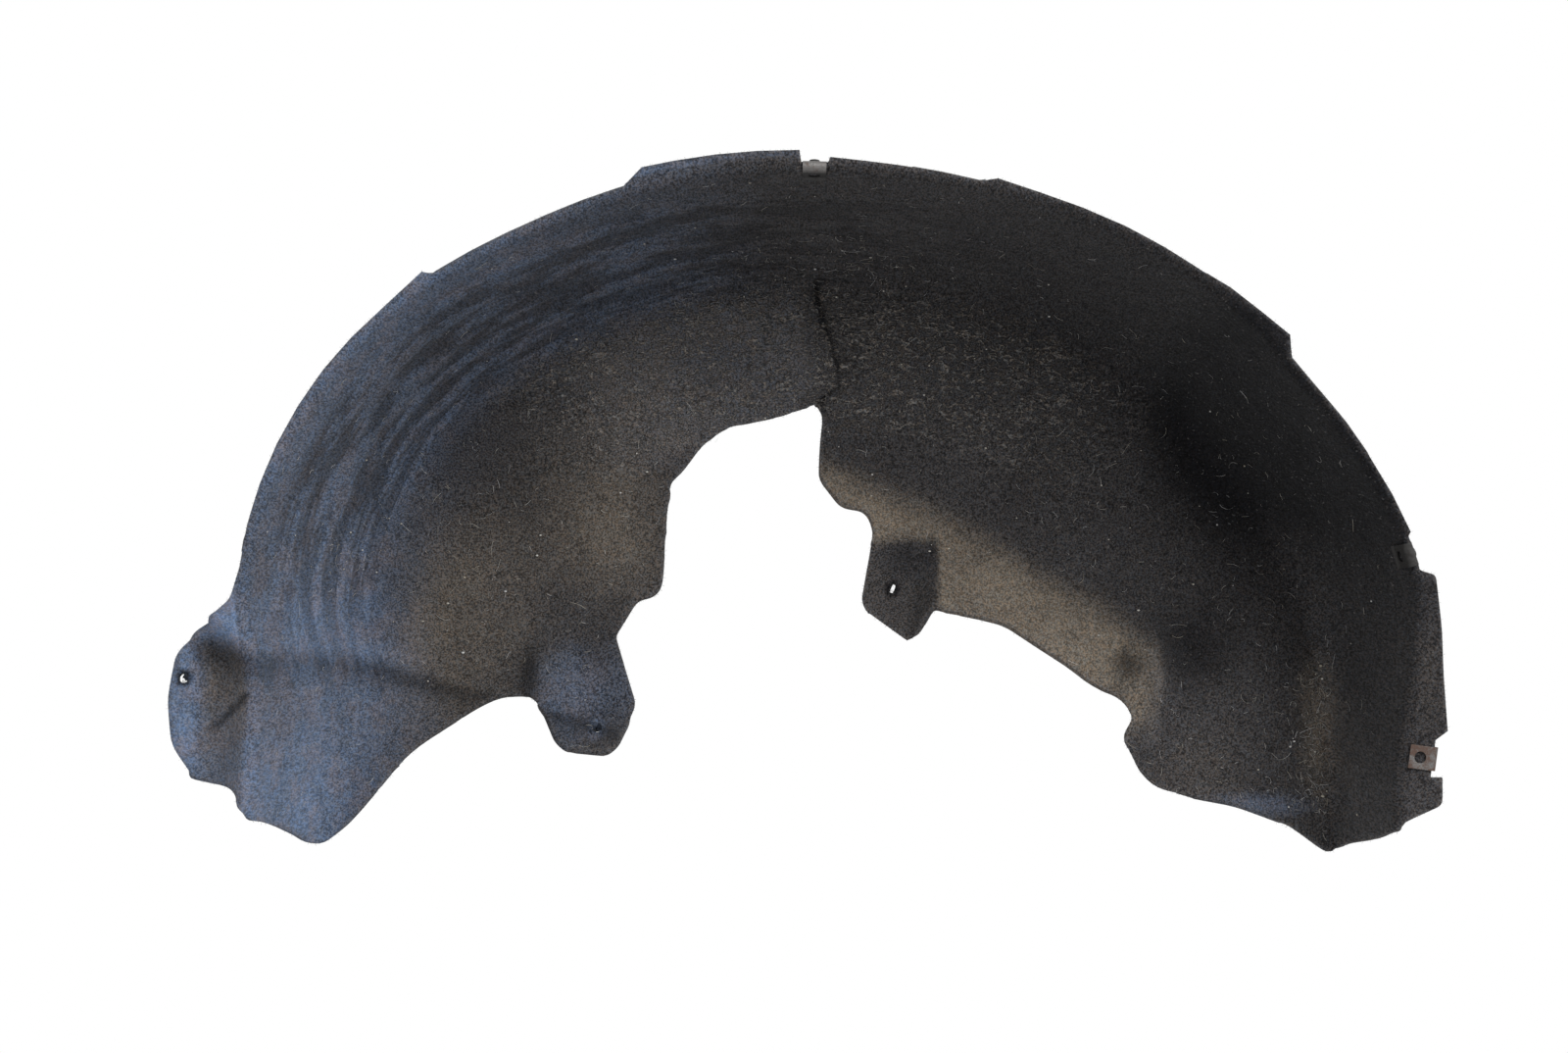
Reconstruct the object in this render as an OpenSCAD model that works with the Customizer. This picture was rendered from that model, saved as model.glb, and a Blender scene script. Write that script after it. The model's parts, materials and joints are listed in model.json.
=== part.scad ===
/* [Arch] */
// Radius of the bend line about the wheel axis, at the crown
arch_r = 404; // [380:1:430]
// Depth of the side wall behind the lip, at the crown
arch_depth = 180; // [160:1:200]
// Draft of the tread band, from the direction of the wheel axis
band_draft = 10; // [8:0.5:13]
// Size of the blend between tread band and side wall, at the crown
fillet_blend = 150; // [120:5:165]
// Radius of the bend between lip and tread band, on the wheel side
lip_bend = 8; // [7:0.5:11]
// Thickness of the moulded felt
felt_t = 4; // [3:0.25:5]

/* [Edge] */
// Width of the plain lip, outward from the bend line
lip_w = 6; // [5:0.5:8]
// Width of the wide lip in front of the crown notch
crown_tab_w = 12; // [10:0.5:16]
// Width of the flange at the rear end
rear_flange_w = 24; // [22:1:28]
// Width of the ear at the front end
ear_w = 58; // [50:1:64]
// Depth of the pocket between the ear and the arch
ear_pocket = 15; // [8:1:18]
// Width of the flat strip along the ear, which takes its screw
ear_strip = 24; // [22:1:26]

/* [Darts and holes] */
// Width of the relief slot at the top of the dart
relief_w = 2.5; // [1.5:0.5:4]
// Width of the cut along the dart
dart_w = 1.2; // [0.8:0.1:2]
// How far the front flap of the dart lies before the rear one
dart_step = 6; // [4:0.5:8]
// Bore of the screw holes in the felt
hole_d = 6.5; // [5.5:0.1:8]

/* [Spring nuts] */
// Width of a spring nut, along the felt edge
nut_w = 15; // [13:0.5:17]
// Thickness of the spring steel
steel_t = 0.9; // [0.6:0.1:1.2]
// Clearance between the felt and each leaf
leaf_gap = 0.5; // [0.4:0.05:0.8]
// Length of the leaf on the wheel side
front_leaf = 15.5; // [14:0.5:18]
// Length of the leaf that carries the thread
back_leaf = 13; // [12.5:0.25:14]
// Distance from the felt edge to the screw axis
screw_in = 8.5; // [8:0.25:9]
// Core bore of the screw thread
thread_d = 4.2; // [3.4:0.1:4.8]
// Clear hole for the screw in the front leaf
clear_d = 7.5; // [7:0.25:8.5]
// Height of the drawn barrel that holds the thread
barrel_h = 3; // [2:0.25:4]

/* [Hidden] */
$fn = 48;
felt_colour = [0.13, 0.13, 0.14];
steel_colour = [0.45, 0.33, 0.24];

// The arch is a section that changes along the wheel arch. Angles run about the wheel axis, from
// the rear end over the crown (90) to the front end, and distances run inward from the bend line.
stations = [
  // angle, rim rise, depth drop, draft share, wall slope, blend share, crease in, ledge slope, crease blend
  [192, -32, -75, 1,    0.00, 0.67,  45, 0.30, 60],
  [184, -43, -60, 1,    0.00, 0.80,  52, 0.30, 60],
  [176, -47, -40, 1,    0.00, 0.87,  62, 0.28, 60],
  [168, -43, -25, 1,    0.02, 0.93,  90, 0.25, 60],
  [160, -19, -15, 1,    0.04, 1.00, 118, 0.25, 50],
  [150,  -2,  -8, 1,    0.05, 1.00, 130, 0.28, 45],
  [140,   7,  -4, 1,    0.05, 1.00, 138, 0.30, 40],
  [130,   9,  -2, 1,    0.05, 1.00, 140, 0.30, 40],
  [118,   4,   0, 1,    0.05, 1.00, 140, 0.30, 30],
  [106,   2,   0, 1,    0.03, 1.00, 150, 0.30, 30],
  [ 92,   0,   0, 1,    0.03, 1.00, 170, 0.50, 14],
  [ 84,  -1,   2, 1,    0.03, 0.93, 182, 0.58, 10],
  [ 72,   2,   4, 1,    0.03, 0.87, 193, 0.58, 10],
  [ 60,   6,   4, 1,    0.03, 0.87, 199, 0.58, 10],
  [ 48,   8,   2, 1,    0.00, 0.87, 197, 0.58, 10],
  [ 42,   4,  -1, 1,   -0.02, 0.87, 190, 0.57, 10],
  [ 36,   4,  -4, 1,   -0.05, 0.87, 178, 0.55, 10],
  [ 26,   3, -16, 1,   -0.12, 0.80, 158, 0.45, 12],
  [ 20,  -1, -26, 1,   -0.18, 0.70, 150, 0.35, 16],
  [ 14, -14, -38, 0.9, -0.22, 0.60, 150, 0.25, 20],
  [  9, -27, -46, 0.8, -0.24, 0.50, 152, 0.20, 20],
  [  4, -36, -52, 0.5, -0.22, 0.45, 158, 0.20, 20],
  [ -2, -37, -58, 0.5, -0.20, 0.40, 165, 0.20, 20],
  [ -9, -36, -66, 0.4, -0.15, 0.40, 170, 0.20, 20],
];
// How far the blank reaches inward, a little past the cut edge everywhere
blank_reach = [
  [-9, 60], [-5, 80], [-3, 110], [-1, 150], [3, 172], [8, 182], [14, 185], [18, 196], [25, 225], [33, 238],
  [40, 250], [48, 268], [55, 280], [57, 302], [60, 305], [66, 302], [72, 300], [77, 290], [79, 225],
  [84, 222], [88, 212], [90, 205], [92, 160], [97, 160], [104, 162], [108, 170], [113, 184], [119, 205],
  [124, 235], [128, 252], [134, 250], [144, 248], [150, 250], [155, 270], [160, 268], [166, 250],
  [172, 228], [176, 120], [180, 75], [186, 62], [192, 60],
];

// Smooth run of one station column along the arch
function span(a, i = 0) = (i >= len(stations) - 2 || a >= stations[i + 1][0]) ? i : span(a, i + 1);
function tangent(i, c) =
  let (p = stations[max(i - 1, 0)], q = stations[min(i + 1, len(stations) - 1)])
  (q[c] - p[c]) / (q[0] - p[0]);
function at(a, c) =
  let (i = span(a), p = stations[i], q = stations[i + 1], h = q[0] - p[0], u = (a - p[0]) / h)
  (2 * u^3 - 3 * u^2 + 1) * p[c] + (u^3 - 2 * u^2 + u) * h * tangent(i, c)
  + (3 * u^2 - 2 * u^3) * q[c] + (u^3 - u^2) * h * tangent(i + 1, c);

function unit(v) = v / norm(v);
function soft_min(a, b, k) = let (h = max(k - abs(a - b), 0) / k) min(a, b) - h * h * k / 4;
function ease(t) = let (u = min(max(t, 0), 1)) u * u * (3 - 2 * u);
function dome(u) = u < 1 ? (1 - u * u) ^ 2 : 0;
function mix(a, b, t) = a + (b - a) * t;

function rim_r(a) = arch_r + at(a, 1);
function depth(a) = arch_depth + at(a, 2);
function draft(a) = band_draft * at(a, 3);
function foot(a) = depth(a) * tan(draft(a));

// The dart leans rearward as it goes in, and comes back below the front flap
function dart_path(d) = 2.7 * ease((d - 20) / 30) + 14 * ease((d - 55) / 75) - 16 * ease((d - 134) / 14);
function dart_lean(a, d) = dart_path(d) * ease(1 - abs(a - 90) / 14);
function dart_lift(a, d) = a > 90 ? dart_step * ease((d - 60) / 50) * ease(1 - (a - 90) / 14) : 0;
function arch_xz(a, d) =
  let (r = rim_r(a) - d)
  [r * cos(a) + dart_lean(a, d), r * sin(a)];

// Local forms of the side wall: [angle, distance in]
ear_hole = [168.5, 8 - ear_w];
front_tab_hole = [166, 210];
rear_tab_hole = [67.6, 262.6];
ridge_top = [22.6, 158];
ridge_end = [9.4, 164];
pit = [19.3, 125];
dimple = [22.9, 181];
function place(c) = arch_xz(c[0], c[1]);
function segment_gap(p, a, b) =
  let (t = min(max((p - a) * (b - a) / ((b - a) * (b - a)), 0), 1))
  norm(p - a - t * (b - a));

function wall_forms(a, d, p) =
  let (
    crest = lookup(d, [[34, -6.7], [54, -2.3], [74, 0.2], [112, 0.6], [140, -1]]),
    rolled = ease((crest - a) * norm(p) * PI / 180 / 18) * ease((d - 20) / 14) * ease((150 - d) / 20)
  )
  8 * dome(norm(p - place(pit)) / 28) + 4 * dome(norm(p - place(dimple)) / 13)
  - 12 * dome(segment_gap(p, place(ridge_top), place(ridge_end)) / 22) - 9 * rolled;

function rear_tab(y, p) =
  let (
    q = p - place(rear_tab_hole),
    m = ease((48 - q[1]) / 18) * ease((29 - q[0]) / 16) * ease((q[0] + 55) / 20)
  )
  mix(y, arch_depth - 8, m);

function front_tab(y, p) =
  let (
    q = p - place(front_tab_hole),
    m = ease((66 - q[1]) / 25) * ease((q[0] + 53) / 18) * ease((51 - q[0]) / 15),
    shelf = arch_depth - 30 - 0.8 * max(0, -15 - q[0]) - 1.9 * max(0, 6.5 - q[1])
  )
  mix(y, shelf, m);

function section_y(a, d) =
  let (
    p = arch_xz(a, d),
    band = d / tan(draft(a)),
    wall = depth(a) + at(a, 4) * (d - foot(a)),
    turn = soft_min(band, wall, fillet_blend * at(a, 5)),
    ledge = depth(a) + at(a, 4) * (at(a, 6) - foot(a)) - at(a, 7) * (d - at(a, 6)),
    y = soft_min(turn, ledge, at(a, 8)) + wall_forms(a, d, p)
  )
  d > 190 && a < 100 ? rear_tab(y, p) : d > 120 && a > 140 ? front_tab(y, p) : y;

// The section runs from the lip's outer edge over the bend and the tread band to the inner edge
lip_rows = 5;
bend_rows = 3;
wall_rows = 27;
row_count = lip_rows + bend_rows + wall_rows + 1;
function bend_turn(a) = 90 - draft(a);
function bend_back(a) = lip_bend * tan(bend_turn(a) / 2);
function blank_lip(a) = lookup(a, [
  [-9, rear_flange_w + 4], [6, rear_flange_w + 4], [14, rear_flange_w - 4], [20, rear_flange_w - 8],
  [26, crown_tab_w], [157, crown_tab_w], [165, ear_w], [192, ear_w]]);
function pocket_y(a, e) =
  ear_pocket * ease((a - 162) / 4) * (ease(e / 20) - 0.8 * ease((e - ear_w + ear_strip + 9) / 9));
function wall_rows_at(a) = [
  [0, lip_bend * sin(bend_turn(a)) - bend_back(a)], [6, 0.85 * foot(a)], [10, 62],
  [18, max(at(a, 6), 66)], [wall_rows, lookup(a, blank_reach)]];
function section_row(a, j) =
  j < lip_rows ? let (e = blank_lip(a) * (1 - j / lip_rows)) [-bend_back(a) - e, pocket_y(a, e)] :
  j <= lip_rows + bend_rows ? let (t = bend_turn(a) * (j - lip_rows) / bend_rows)
    [lip_bend * sin(t) - bend_back(a), lip_bend * (1 - cos(t))] :
  let (d = lookup(j - lip_rows - bend_rows, wall_rows_at(a))) [d, section_y(a, d)];
function felt_point(a, j) =
  let (s = section_row(a, j), p = arch_xz(a, s[0]))
  [p[0], s[1] - dart_lift(a, s[0]), p[1]];

// Wheel side of the felt, as one row of points for each angle; the dart has a line on each side
dart_gap = 0.05;
front_angles = [for (a = [192:-2.7:92]) a];
rear_angles = concat([for (a = [87.5:-2.7:4]) a], [for (a = [2.5:-1.45:-9]) a]);
angles = concat(front_angles, [90 + dart_gap, 90 - dart_gap], rear_angles);
dart_i = len(front_angles);
ni = len(angles);
nj = row_count;
wheel_side = [for (a = angles) [for (j = [0:nj - 1]) felt_point(a, j)]];
function away(n) = n[1] > 0 ? n : -n;
function normal(i, j) =
  let (
    next = i == dart_i ? i : min(i + 1, ni - 1),
    last = i == dart_i + 1 ? i : max(i - 1, 0),
    e = wheel_side[next][j] - wheel_side[last][j],
    f = wheel_side[i][min(j + 1, nj - 1)] - wheel_side[i][max(j - 1, 0)]
  )
  away(unit(cross(e, f)));
body_side = [for (i = [0:ni - 1]) [for (j = [0:nj - 1]) wheel_side[i][j] + felt_t * normal(i, j)]];

module felt_blank() {
  points = [for (side = [wheel_side, body_side]) for (line = side) each line];
  function id(s, i, j) = (s * ni + i) * nj + j;
  function quad(a, b, c, d) = [[a, b, c], [a, c, d]];
  front_faces = [for (i = [0:ni - 2]) for (j = [0:nj - 2])
    each quad(id(0, i, j), id(0, i + 1, j), id(0, i + 1, j + 1), id(0, i, j + 1))];
  back_faces = [for (i = [0:ni - 2]) for (j = [0:nj - 2])
    each quad(id(1, i, j), id(1, i, j + 1), id(1, i + 1, j + 1), id(1, i + 1, j))];
  outer_rim = [for (i = [0:ni - 2]) each quad(id(0, i, 0), id(1, i, 0), id(1, i + 1, 0), id(0, i + 1, 0))];
  inner_rim = [for (i = [0:ni - 2])
    each quad(id(0, i, nj - 1), id(0, i + 1, nj - 1), id(1, i + 1, nj - 1), id(1, i, nj - 1))];
  front_end = [for (j = [0:nj - 2]) each quad(id(0, 0, j), id(0, 0, j + 1), id(1, 0, j + 1), id(1, 0, j))];
  rear_end = [for (j = [0:nj - 2])
    each quad(id(0, ni - 1, j), id(1, ni - 1, j), id(1, ni - 1, j + 1), id(0, ni - 1, j + 1))];
  polyhedron(points, concat(front_faces, back_faces, outer_rim, inner_rim, front_end, rear_end));
}

// Seats of the spring nuts on the felt edge: [point on the felt's mid line, heading in the lip plane, tilt]
function heading(a) = a - atan((rim_r(a + 0.5) - rim_r(a - 0.5)) / (rim_r(a) * PI / 180));
function seat(a, out, y, tilt) =
  let (h = heading(a))
  [[rim_r(a) * cos(a) + out * cos(h), y, rim_r(a) * sin(a) + out * sin(h)], h, tilt];
band_notch = 0.75 * felt_t;
function notch_y(a) = let (t = asin((bend_back(a) - band_notch) / lip_bend)) lip_bend * (1 - cos(t));
function band_seat(a) =
  let (t = draft(a), y = notch_y(a))
  seat(a, felt_t / 2 / cos(t) - y * tan(t), y, 90 + t);
crown_at = 90.3;
rear_upper_at = 23.1;
rear_lower_at = 5.2;
flange_notch = rear_flange_w - 2.5;
crown_seat = band_seat(crown_at);
rear_upper_seat = band_seat(rear_upper_at);
rear_lower_seat = seat(rear_lower_at, flange_notch, felt_t / 2, 180);

// The cut edge, clockwise from the ear: [angle, distance in, corner size]
function run(a0, a1, w0, w1) =
  let (n = max(1, ceil(abs(a1 - a0) / 4)))
  [for (k = [0:n]) [mix(a0, a1, k / n), -mix(w0, w1, k / n), 0]];
function notch(a, out, side) =
  let (h = heading(a), w = nut_w / 2 + side, c = rim_r(a) * [cos(a), sin(a)] + out * [cos(h), sin(h)])
  [for (k = [w, -w]) let (p = c + k * [-sin(h), cos(h)], t = atan2(p[1], p[0])) [t, rim_r(t) - norm(p), 0]];
outer_edge = concat(
  [[163.4, -29, 2], [162.7, -27, 1], [160.5, -11, 4]],
  run(157.5, 131, lip_w, lip_w), [[126.5, -lip_w - 3.5, 1]],
  run(125.8, 107.5, lip_w - 2, lip_w - 1), [[105.4, -crown_tab_w - 2, 2]],
  run(102.6, 91.6, crown_tab_w + 1.5, crown_tab_w), notch(crown_at, band_notch, 0.8),
  run(88.9, 75.5, lip_w + 2, lip_w - 2), [[74, -lip_w - 2.5, 2]],
  run(70, 54.2, lip_w + 1, lip_w), [[53.8, -lip_w - 0.5, 1]],
  run(51.5, 48, lip_w + 2, lip_w + 3), [[45, -lip_w - 6.5, 2]],
  run(43.4, 24.9, lip_w - 2, lip_w + 1), notch(rear_upper_at, band_notch, 3),
  [[20.6, 10 - rear_flange_w, 3], [16, 8 - rear_flange_w, 8], [12, 4 - rear_flange_w, 8]],
  [[6.9, -rear_flange_w - 5, 2]], notch(rear_lower_at, flange_notch, 4.5),
  [[2.7, -rear_flange_w - 4.5, 1], [0.2, -rear_flange_w - 4.5, 4]]);
inner_edge = [
  [-3, 0, 6], [-7.1, 11, 5], [-7.1, 18, 8], [-4, 48, 15], [-1.8, 82, 15], [0.2, 134, 8], [2.5, 146, 10],
  [10, 172, 6], [13.2, 169, 5], [17, 182, 8], [20.5, 202, 10], [25, 213, 10], [40, 236, 6], [49, 257, 8],
  [55.5, 264, 3], [56.3, 268, 3], [55.1, 291, 3], [56.1, 294, 2], [73.1, 282, 3], [75.2, 275, 3],
  [76.5, 222, 8], [79, 211, 6], [84.5, 210, 6], [89.3, 191, 5], [89.2, 170, 8], [88.8, 147, 3],
  [89.6, 140, 1], [90.4, 136, 1], [91.6, 140, 3], [95.5, 147, 8], [104.2, 150, 8], [109, 159, 6],
  [113.3, 171, 6], [116, 175, 4], [121, 205, 10], [126, 232, 8], [128.5, 240.5, 6], [131.3, 242, 5],
  [134.5, 236, 5], [143.8, 236, 3], [156.7, 256, 4], [167.4, 224, 4], [170, 214, 4], [170.8, 187, 5],
  [169, 179, 4], [163.6, 175, 7], [163, 168, 6], [164.2, 145, 10], [167.8, 118, 14], [174.8, 78, 14],
  [182.2, 52, 14], [186.2, 32, 8], [186.3, 22, 7], [182.8, 5, 6], [180, -12, 5], [178.4, -20, 4],
  [177.9, 19 - ear_w, 6], [174.5, 3 - ear_w, 8], [170.6, -ear_w - 2, 6], [166.5, 4 - ear_w, 7]];

// Corners rounded by quadratic curves
function rounded(list) =
  let (n = len(list))
  [for (k = [0:n - 1])
    let (p = place(list[k]), q = place(list[(k + n - 1) % n]), s = place(list[(k + 1) % n]), c = list[k][2])
    each c == 0 ? [p] :
      let (a = p + unit(q - p) * min(c, norm(q - p) / 2), b = p + unit(s - p) * min(c, norm(s - p) / 2))
      [for (t = [0:1 / 4:1]) (1 - t)^2 * a + 2 * t * (1 - t) * p + t^2 * b]];

// Slot along the dart, wider at its top
function slot(w, d0, d1, step) = concat(
  [for (d = [d0:step:d1]) arch_xz(90, d) - [w / 2, 0]],
  [for (d = [d1:-step:d0]) arch_xz(90, d) + [w / 2, 0]]);

module die_cut() {
  rotate([90, 0, 0]) translate([0, 0, -arch_depth - 80]) linear_extrude(arch_depth + 120)
    difference() {
      polygon(rounded(concat(outer_edge, inner_edge)));
      polygon(slot(relief_w, 50, 65, 5));
      polygon(slot(dart_w, 62, 142, 8));
    }
}

module seated(s) {
  translate(s[0]) rotate([0, -s[1], 0]) rotate([0, 0, s[2]]) children();
}
function seat_point(s, u, v) =
  let (r = u * cos(s[2]) - v * sin(s[2]), y = u * sin(s[2]) + v * cos(s[2]))
  s[0] + [r * cos(s[1]), y, r * sin(s[1])];

// The origin is the middle of the crown nut's threaded bore
gap_half = felt_t / 2 + leaf_gap;
thread_mid = gap_half + (steel_t + barrel_h) / 2;
datum = seat_point(crown_seat, screw_in, -thread_mid);
module from_datum() {
  translate(-datum) children();
}

// A screw hole square through the felt
function felt_normal(c) =
  let (
    g = 0.5,
    point = function(a, d) let (p = arch_xz(a, d), e = -d - bend_back(a))
      [p[0], e > 0 ? pocket_y(a, e) : section_y(a, d), p[1]],
    u = point(c[0] + g, c[1]) - point(c[0] - g, c[1]),
    v = point(c[0], c[1] + g) - point(c[0], c[1] - g)
  )
  [point(c[0], c[1]), away(unit(cross(u, v)))];
module felt_hole(c) {
  f = felt_normal(c);
  translate(f[0] + f[1] * felt_t / 2) rotate([0, acos(f[1][2]), atan2(f[1][1], f[1][0])])
    cylinder(d = hole_d, h = 4 * felt_t, center = true);
}

module liner() {
  color(felt_colour)
  from_datum()
  difference() {
    intersection() {
      felt_blank();
      die_cut();
    }
    for (s = [crown_seat, rear_upper_seat, rear_lower_seat])
      seated(s) translate([screw_in, 0, 0]) rotate([90, 0, 0])
        cylinder(d = hole_d, h = 3 * felt_t, center = true);
    for (c = [ear_hole, front_tab_hole, rear_tab_hole]) felt_hole(c);
  }
}

// Spring nut folded from steel strip: it slides over the felt edge from the left, +Y is the screw side
lead = 2.5;
lead_rise = 0.9;
barrel_d = thread_d + 2.6;
fold_x = 0.7;
module leaf_profile(length) {
  polygon([
    [0, gap_half], [length - lead, gap_half], [length, gap_half + lead_rise],
    [length, gap_half + lead_rise + steel_t], [length - lead, gap_half + steel_t], [0, gap_half + steel_t]]);
}
module spring_nut() {
  color(steel_colour)
  difference() {
    union() {
      linear_extrude(nut_w, center = true) translate([fold_x, 0]) {
        difference() {
          circle(gap_half + steel_t);
          circle(gap_half);
          translate([0, -2 * gap_half]) square(4 * gap_half);
        }
        leaf_profile(front_leaf - fold_x);
        mirror([0, 1]) leaf_profile(back_leaf - fold_x);
      }
      translate([screw_in, -gap_half - steel_t, 0]) rotate([90, 0, 0]) cylinder(d = barrel_d, h = barrel_h);
    }
    translate([screw_in, 0, 0]) rotate([90, 0, 0]) cylinder(d = thread_d, h = 30);
    translate([screw_in, 0, 0]) rotate([-90, 0, 0]) cylinder(d = clear_d, h = 30);
  }
}

module spring_nut_crown() {
  from_datum() seated(crown_seat) spring_nut();
}
module spring_nut_rear_upper() {
  from_datum() seated(rear_upper_seat) spring_nut();
}
module spring_nut_rear_lower() {
  from_datum() seated(rear_lower_seat) spring_nut();
}

liner();
spring_nut_crown();
spring_nut_rear_upper();
spring_nut_rear_lower();
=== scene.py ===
import json
import math
import random
from functools import partial

import bmesh
import bpy
import numpy as np
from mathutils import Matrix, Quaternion, Vector, noise


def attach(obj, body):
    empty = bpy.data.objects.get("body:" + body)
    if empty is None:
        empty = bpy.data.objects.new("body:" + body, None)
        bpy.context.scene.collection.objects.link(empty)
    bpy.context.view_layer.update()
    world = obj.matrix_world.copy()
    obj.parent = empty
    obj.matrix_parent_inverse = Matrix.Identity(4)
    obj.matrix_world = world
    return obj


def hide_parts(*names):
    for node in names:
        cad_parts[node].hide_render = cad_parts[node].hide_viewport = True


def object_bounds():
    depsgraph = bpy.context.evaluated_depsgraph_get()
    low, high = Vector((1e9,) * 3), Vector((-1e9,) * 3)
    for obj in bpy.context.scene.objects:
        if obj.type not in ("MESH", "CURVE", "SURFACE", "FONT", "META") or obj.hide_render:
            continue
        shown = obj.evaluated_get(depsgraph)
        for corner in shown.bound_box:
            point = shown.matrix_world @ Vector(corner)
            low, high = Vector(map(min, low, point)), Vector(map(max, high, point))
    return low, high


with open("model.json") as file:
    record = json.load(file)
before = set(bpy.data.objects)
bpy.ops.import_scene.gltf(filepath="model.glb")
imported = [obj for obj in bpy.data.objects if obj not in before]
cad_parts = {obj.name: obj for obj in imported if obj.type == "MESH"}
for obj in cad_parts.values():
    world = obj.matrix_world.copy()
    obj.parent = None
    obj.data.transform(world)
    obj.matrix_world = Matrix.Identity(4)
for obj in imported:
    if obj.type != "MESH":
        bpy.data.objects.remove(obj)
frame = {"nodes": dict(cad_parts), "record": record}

bl_info = {
    "name": "Moulded wheel arch liner",
    "version": (1, 0, 0),
    "blender": (4, 5, 0),
    "location": "3D View > Sidebar > Liner",
    "description": "Felt arch liner with a lapped dart, lint and rusty spring nuts, on a pale stage",
    "category": "Object",
}

CAD_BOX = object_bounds()
MM = 0.001
HOLE_RIM = 0.2 * MM
SEAM_GAP = 0.01 * MM

# The arch is a section that changes along the wheel arch: sizes in millimetres about the wheel axis.
# Angles run from the rear end over the crown (90) to the front end, distances inward from the bend line.
# angle, rim rise, depth drop, draft share, wall slope, blend share, crease in, ledge slope, crease blend
STATIONS = np.array([
    [192, -32, -75, 1, 0.00, 0.67, 45, 0.30, 60],
    [184, -43, -60, 1, 0.00, 0.80, 52, 0.30, 60],
    [176, -47, -40, 1, 0.00, 0.87, 62, 0.28, 60],
    [168, -43, -25, 1, 0.02, 0.93, 90, 0.25, 60],
    [160, -19, -15, 1, 0.04, 1.00, 118, 0.25, 50],
    [150, -2, -8, 1, 0.05, 1.00, 130, 0.28, 45],
    [140, 7, -4, 1, 0.05, 1.00, 138, 0.30, 40],
    [130, 9, -2, 1, 0.05, 1.00, 140, 0.30, 40],
    [118, 4, 0, 1, 0.05, 1.00, 140, 0.30, 30],
    [106, 2, 0, 1, 0.03, 1.00, 150, 0.30, 30],
    [92, 0, 0, 1, 0.03, 1.00, 170, 0.50, 14],
    [84, -1, 2, 1, 0.03, 0.93, 182, 0.58, 10],
    [72, 2, 4, 1, 0.03, 0.87, 193, 0.58, 10],
    [60, 6, 4, 1, 0.03, 0.87, 199, 0.58, 10],
    [48, 8, 2, 1, 0.00, 0.87, 197, 0.58, 10],
    [42, 4, -1, 1, -0.02, 0.87, 190, 0.57, 10],
    [36, 4, -4, 1, -0.05, 0.87, 178, 0.55, 10],
    [26, 3, -16, 1, -0.12, 0.80, 158, 0.45, 12],
    [20, -1, -26, 1, -0.18, 0.70, 150, 0.35, 16],
    [14, -14, -38, 0.9, -0.22, 0.60, 150, 0.25, 20],
    [9, -27, -46, 0.8, -0.24, 0.50, 152, 0.20, 20],
    [4, -36, -52, 0.5, -0.22, 0.45, 158, 0.20, 20],
    [-2, -37, -58, 0.5, -0.20, 0.40, 165, 0.20, 20],
    [-9, -36, -66, 0.4, -0.15, 0.40, 170, 0.20, 20],
])
RIM, DROP, DRAFT, SLOPE, BLEND, CREASE, LEDGE, SOFT = range(1, 9)

# How far the blank reaches inward, past the cut edge everywhere: angle, distance in
BLANK_REACH = [(-9, 190), (14, 200), (28, 235), (45, 272), (56, 308), (72, 308), (84, 240), (96, 205),
               (112, 205), (124, 258), (160, 276), (170, 240), (180, 130), (192, 100)]
FRONT_END = 192
REAR_END = -9

# The dart is cut at one angle from DART_TOP inward; its lap fades out over DART_REACH degrees
DART_AT = 90
DART_TOP = 50
DART_REACH = 14

# Forms of the wall, by angle and distance in
FRONT_TAB_HOLE = (166, 210)
REAR_TAB_HOLE = (67.6, 262.6)
RIDGE = ((22.6, 158), (9.4, 164))
PIT = (19.3, 125)
DIMPLE = (22.9, 181)
# How far the two tabs lie before the crown's full depth
REAR_TAB_BACK = 8
FRONT_TAB_BACK = 30


def ease(t):
    """0 to 1 with a soft start and end."""
    t = np.clip(t, 0, 1)
    return t * t * (3 - 2 * t)


def dome(u):
    """1 in the middle, and 0 from 1 on."""
    return (1 - np.minimum(np.abs(u), 1) ** 2) ** 2


def line_gap(x, z, start, end):
    """Distance in the lip plane from the line between two points."""
    (px, pz), (qx, qz) = start, end
    run = np.array([qx - px, qz - pz])
    t = np.clip(((x - px) * run[0] + (z - pz) * run[1]) / (run @ run), 0, 1)
    return np.hypot(x - px - t * run[0], z - pz - t * run[1])


def near_dart(a, reach):
    """1 at the dart, and 0 from reach degrees on."""
    return ease(1 - np.abs(a - DART_AT) / reach)


def soft_min(a, b, k):
    """The lower of two heights, blended over k where they meet."""
    h = np.maximum(k - np.abs(a - b), 0) / k
    return np.minimum(a, b) - h * h * k / 4


def mix(a, b, t):
    return a + (b - a) * t


def station(column, a):
    """Smooth run of one station column along the arch."""
    at = STATIONS[::-1, 0]
    value = STATIONS[::-1, column]
    slope = np.empty_like(value)
    slope[1:-1] = (value[2:] - value[:-2]) / (at[2:] - at[:-2])
    slope[0] = (value[1] - value[0]) / (at[1] - at[0])
    slope[-1] = (value[-1] - value[-2]) / (at[-1] - at[-2])
    i = np.clip(np.searchsorted(at, a) - 1, 0, len(at) - 2)
    h = at[i + 1] - at[i]
    u = (a - at[i]) / h
    start = (2 * u**3 - 3 * u**2 + 1) * value[i] + (u**3 - 2 * u**2 + u) * h * slope[i]
    return start + (3 * u**2 - 2 * u**3) * value[i + 1] + (u**3 - u**2) * h * slope[i + 1]


def along_arch(table, a):
    """Straight-line reading of a table of angle and value pairs."""
    table = np.asarray(table, float)
    return np.interp(a, table[:, 0], table[:, 1])


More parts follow.
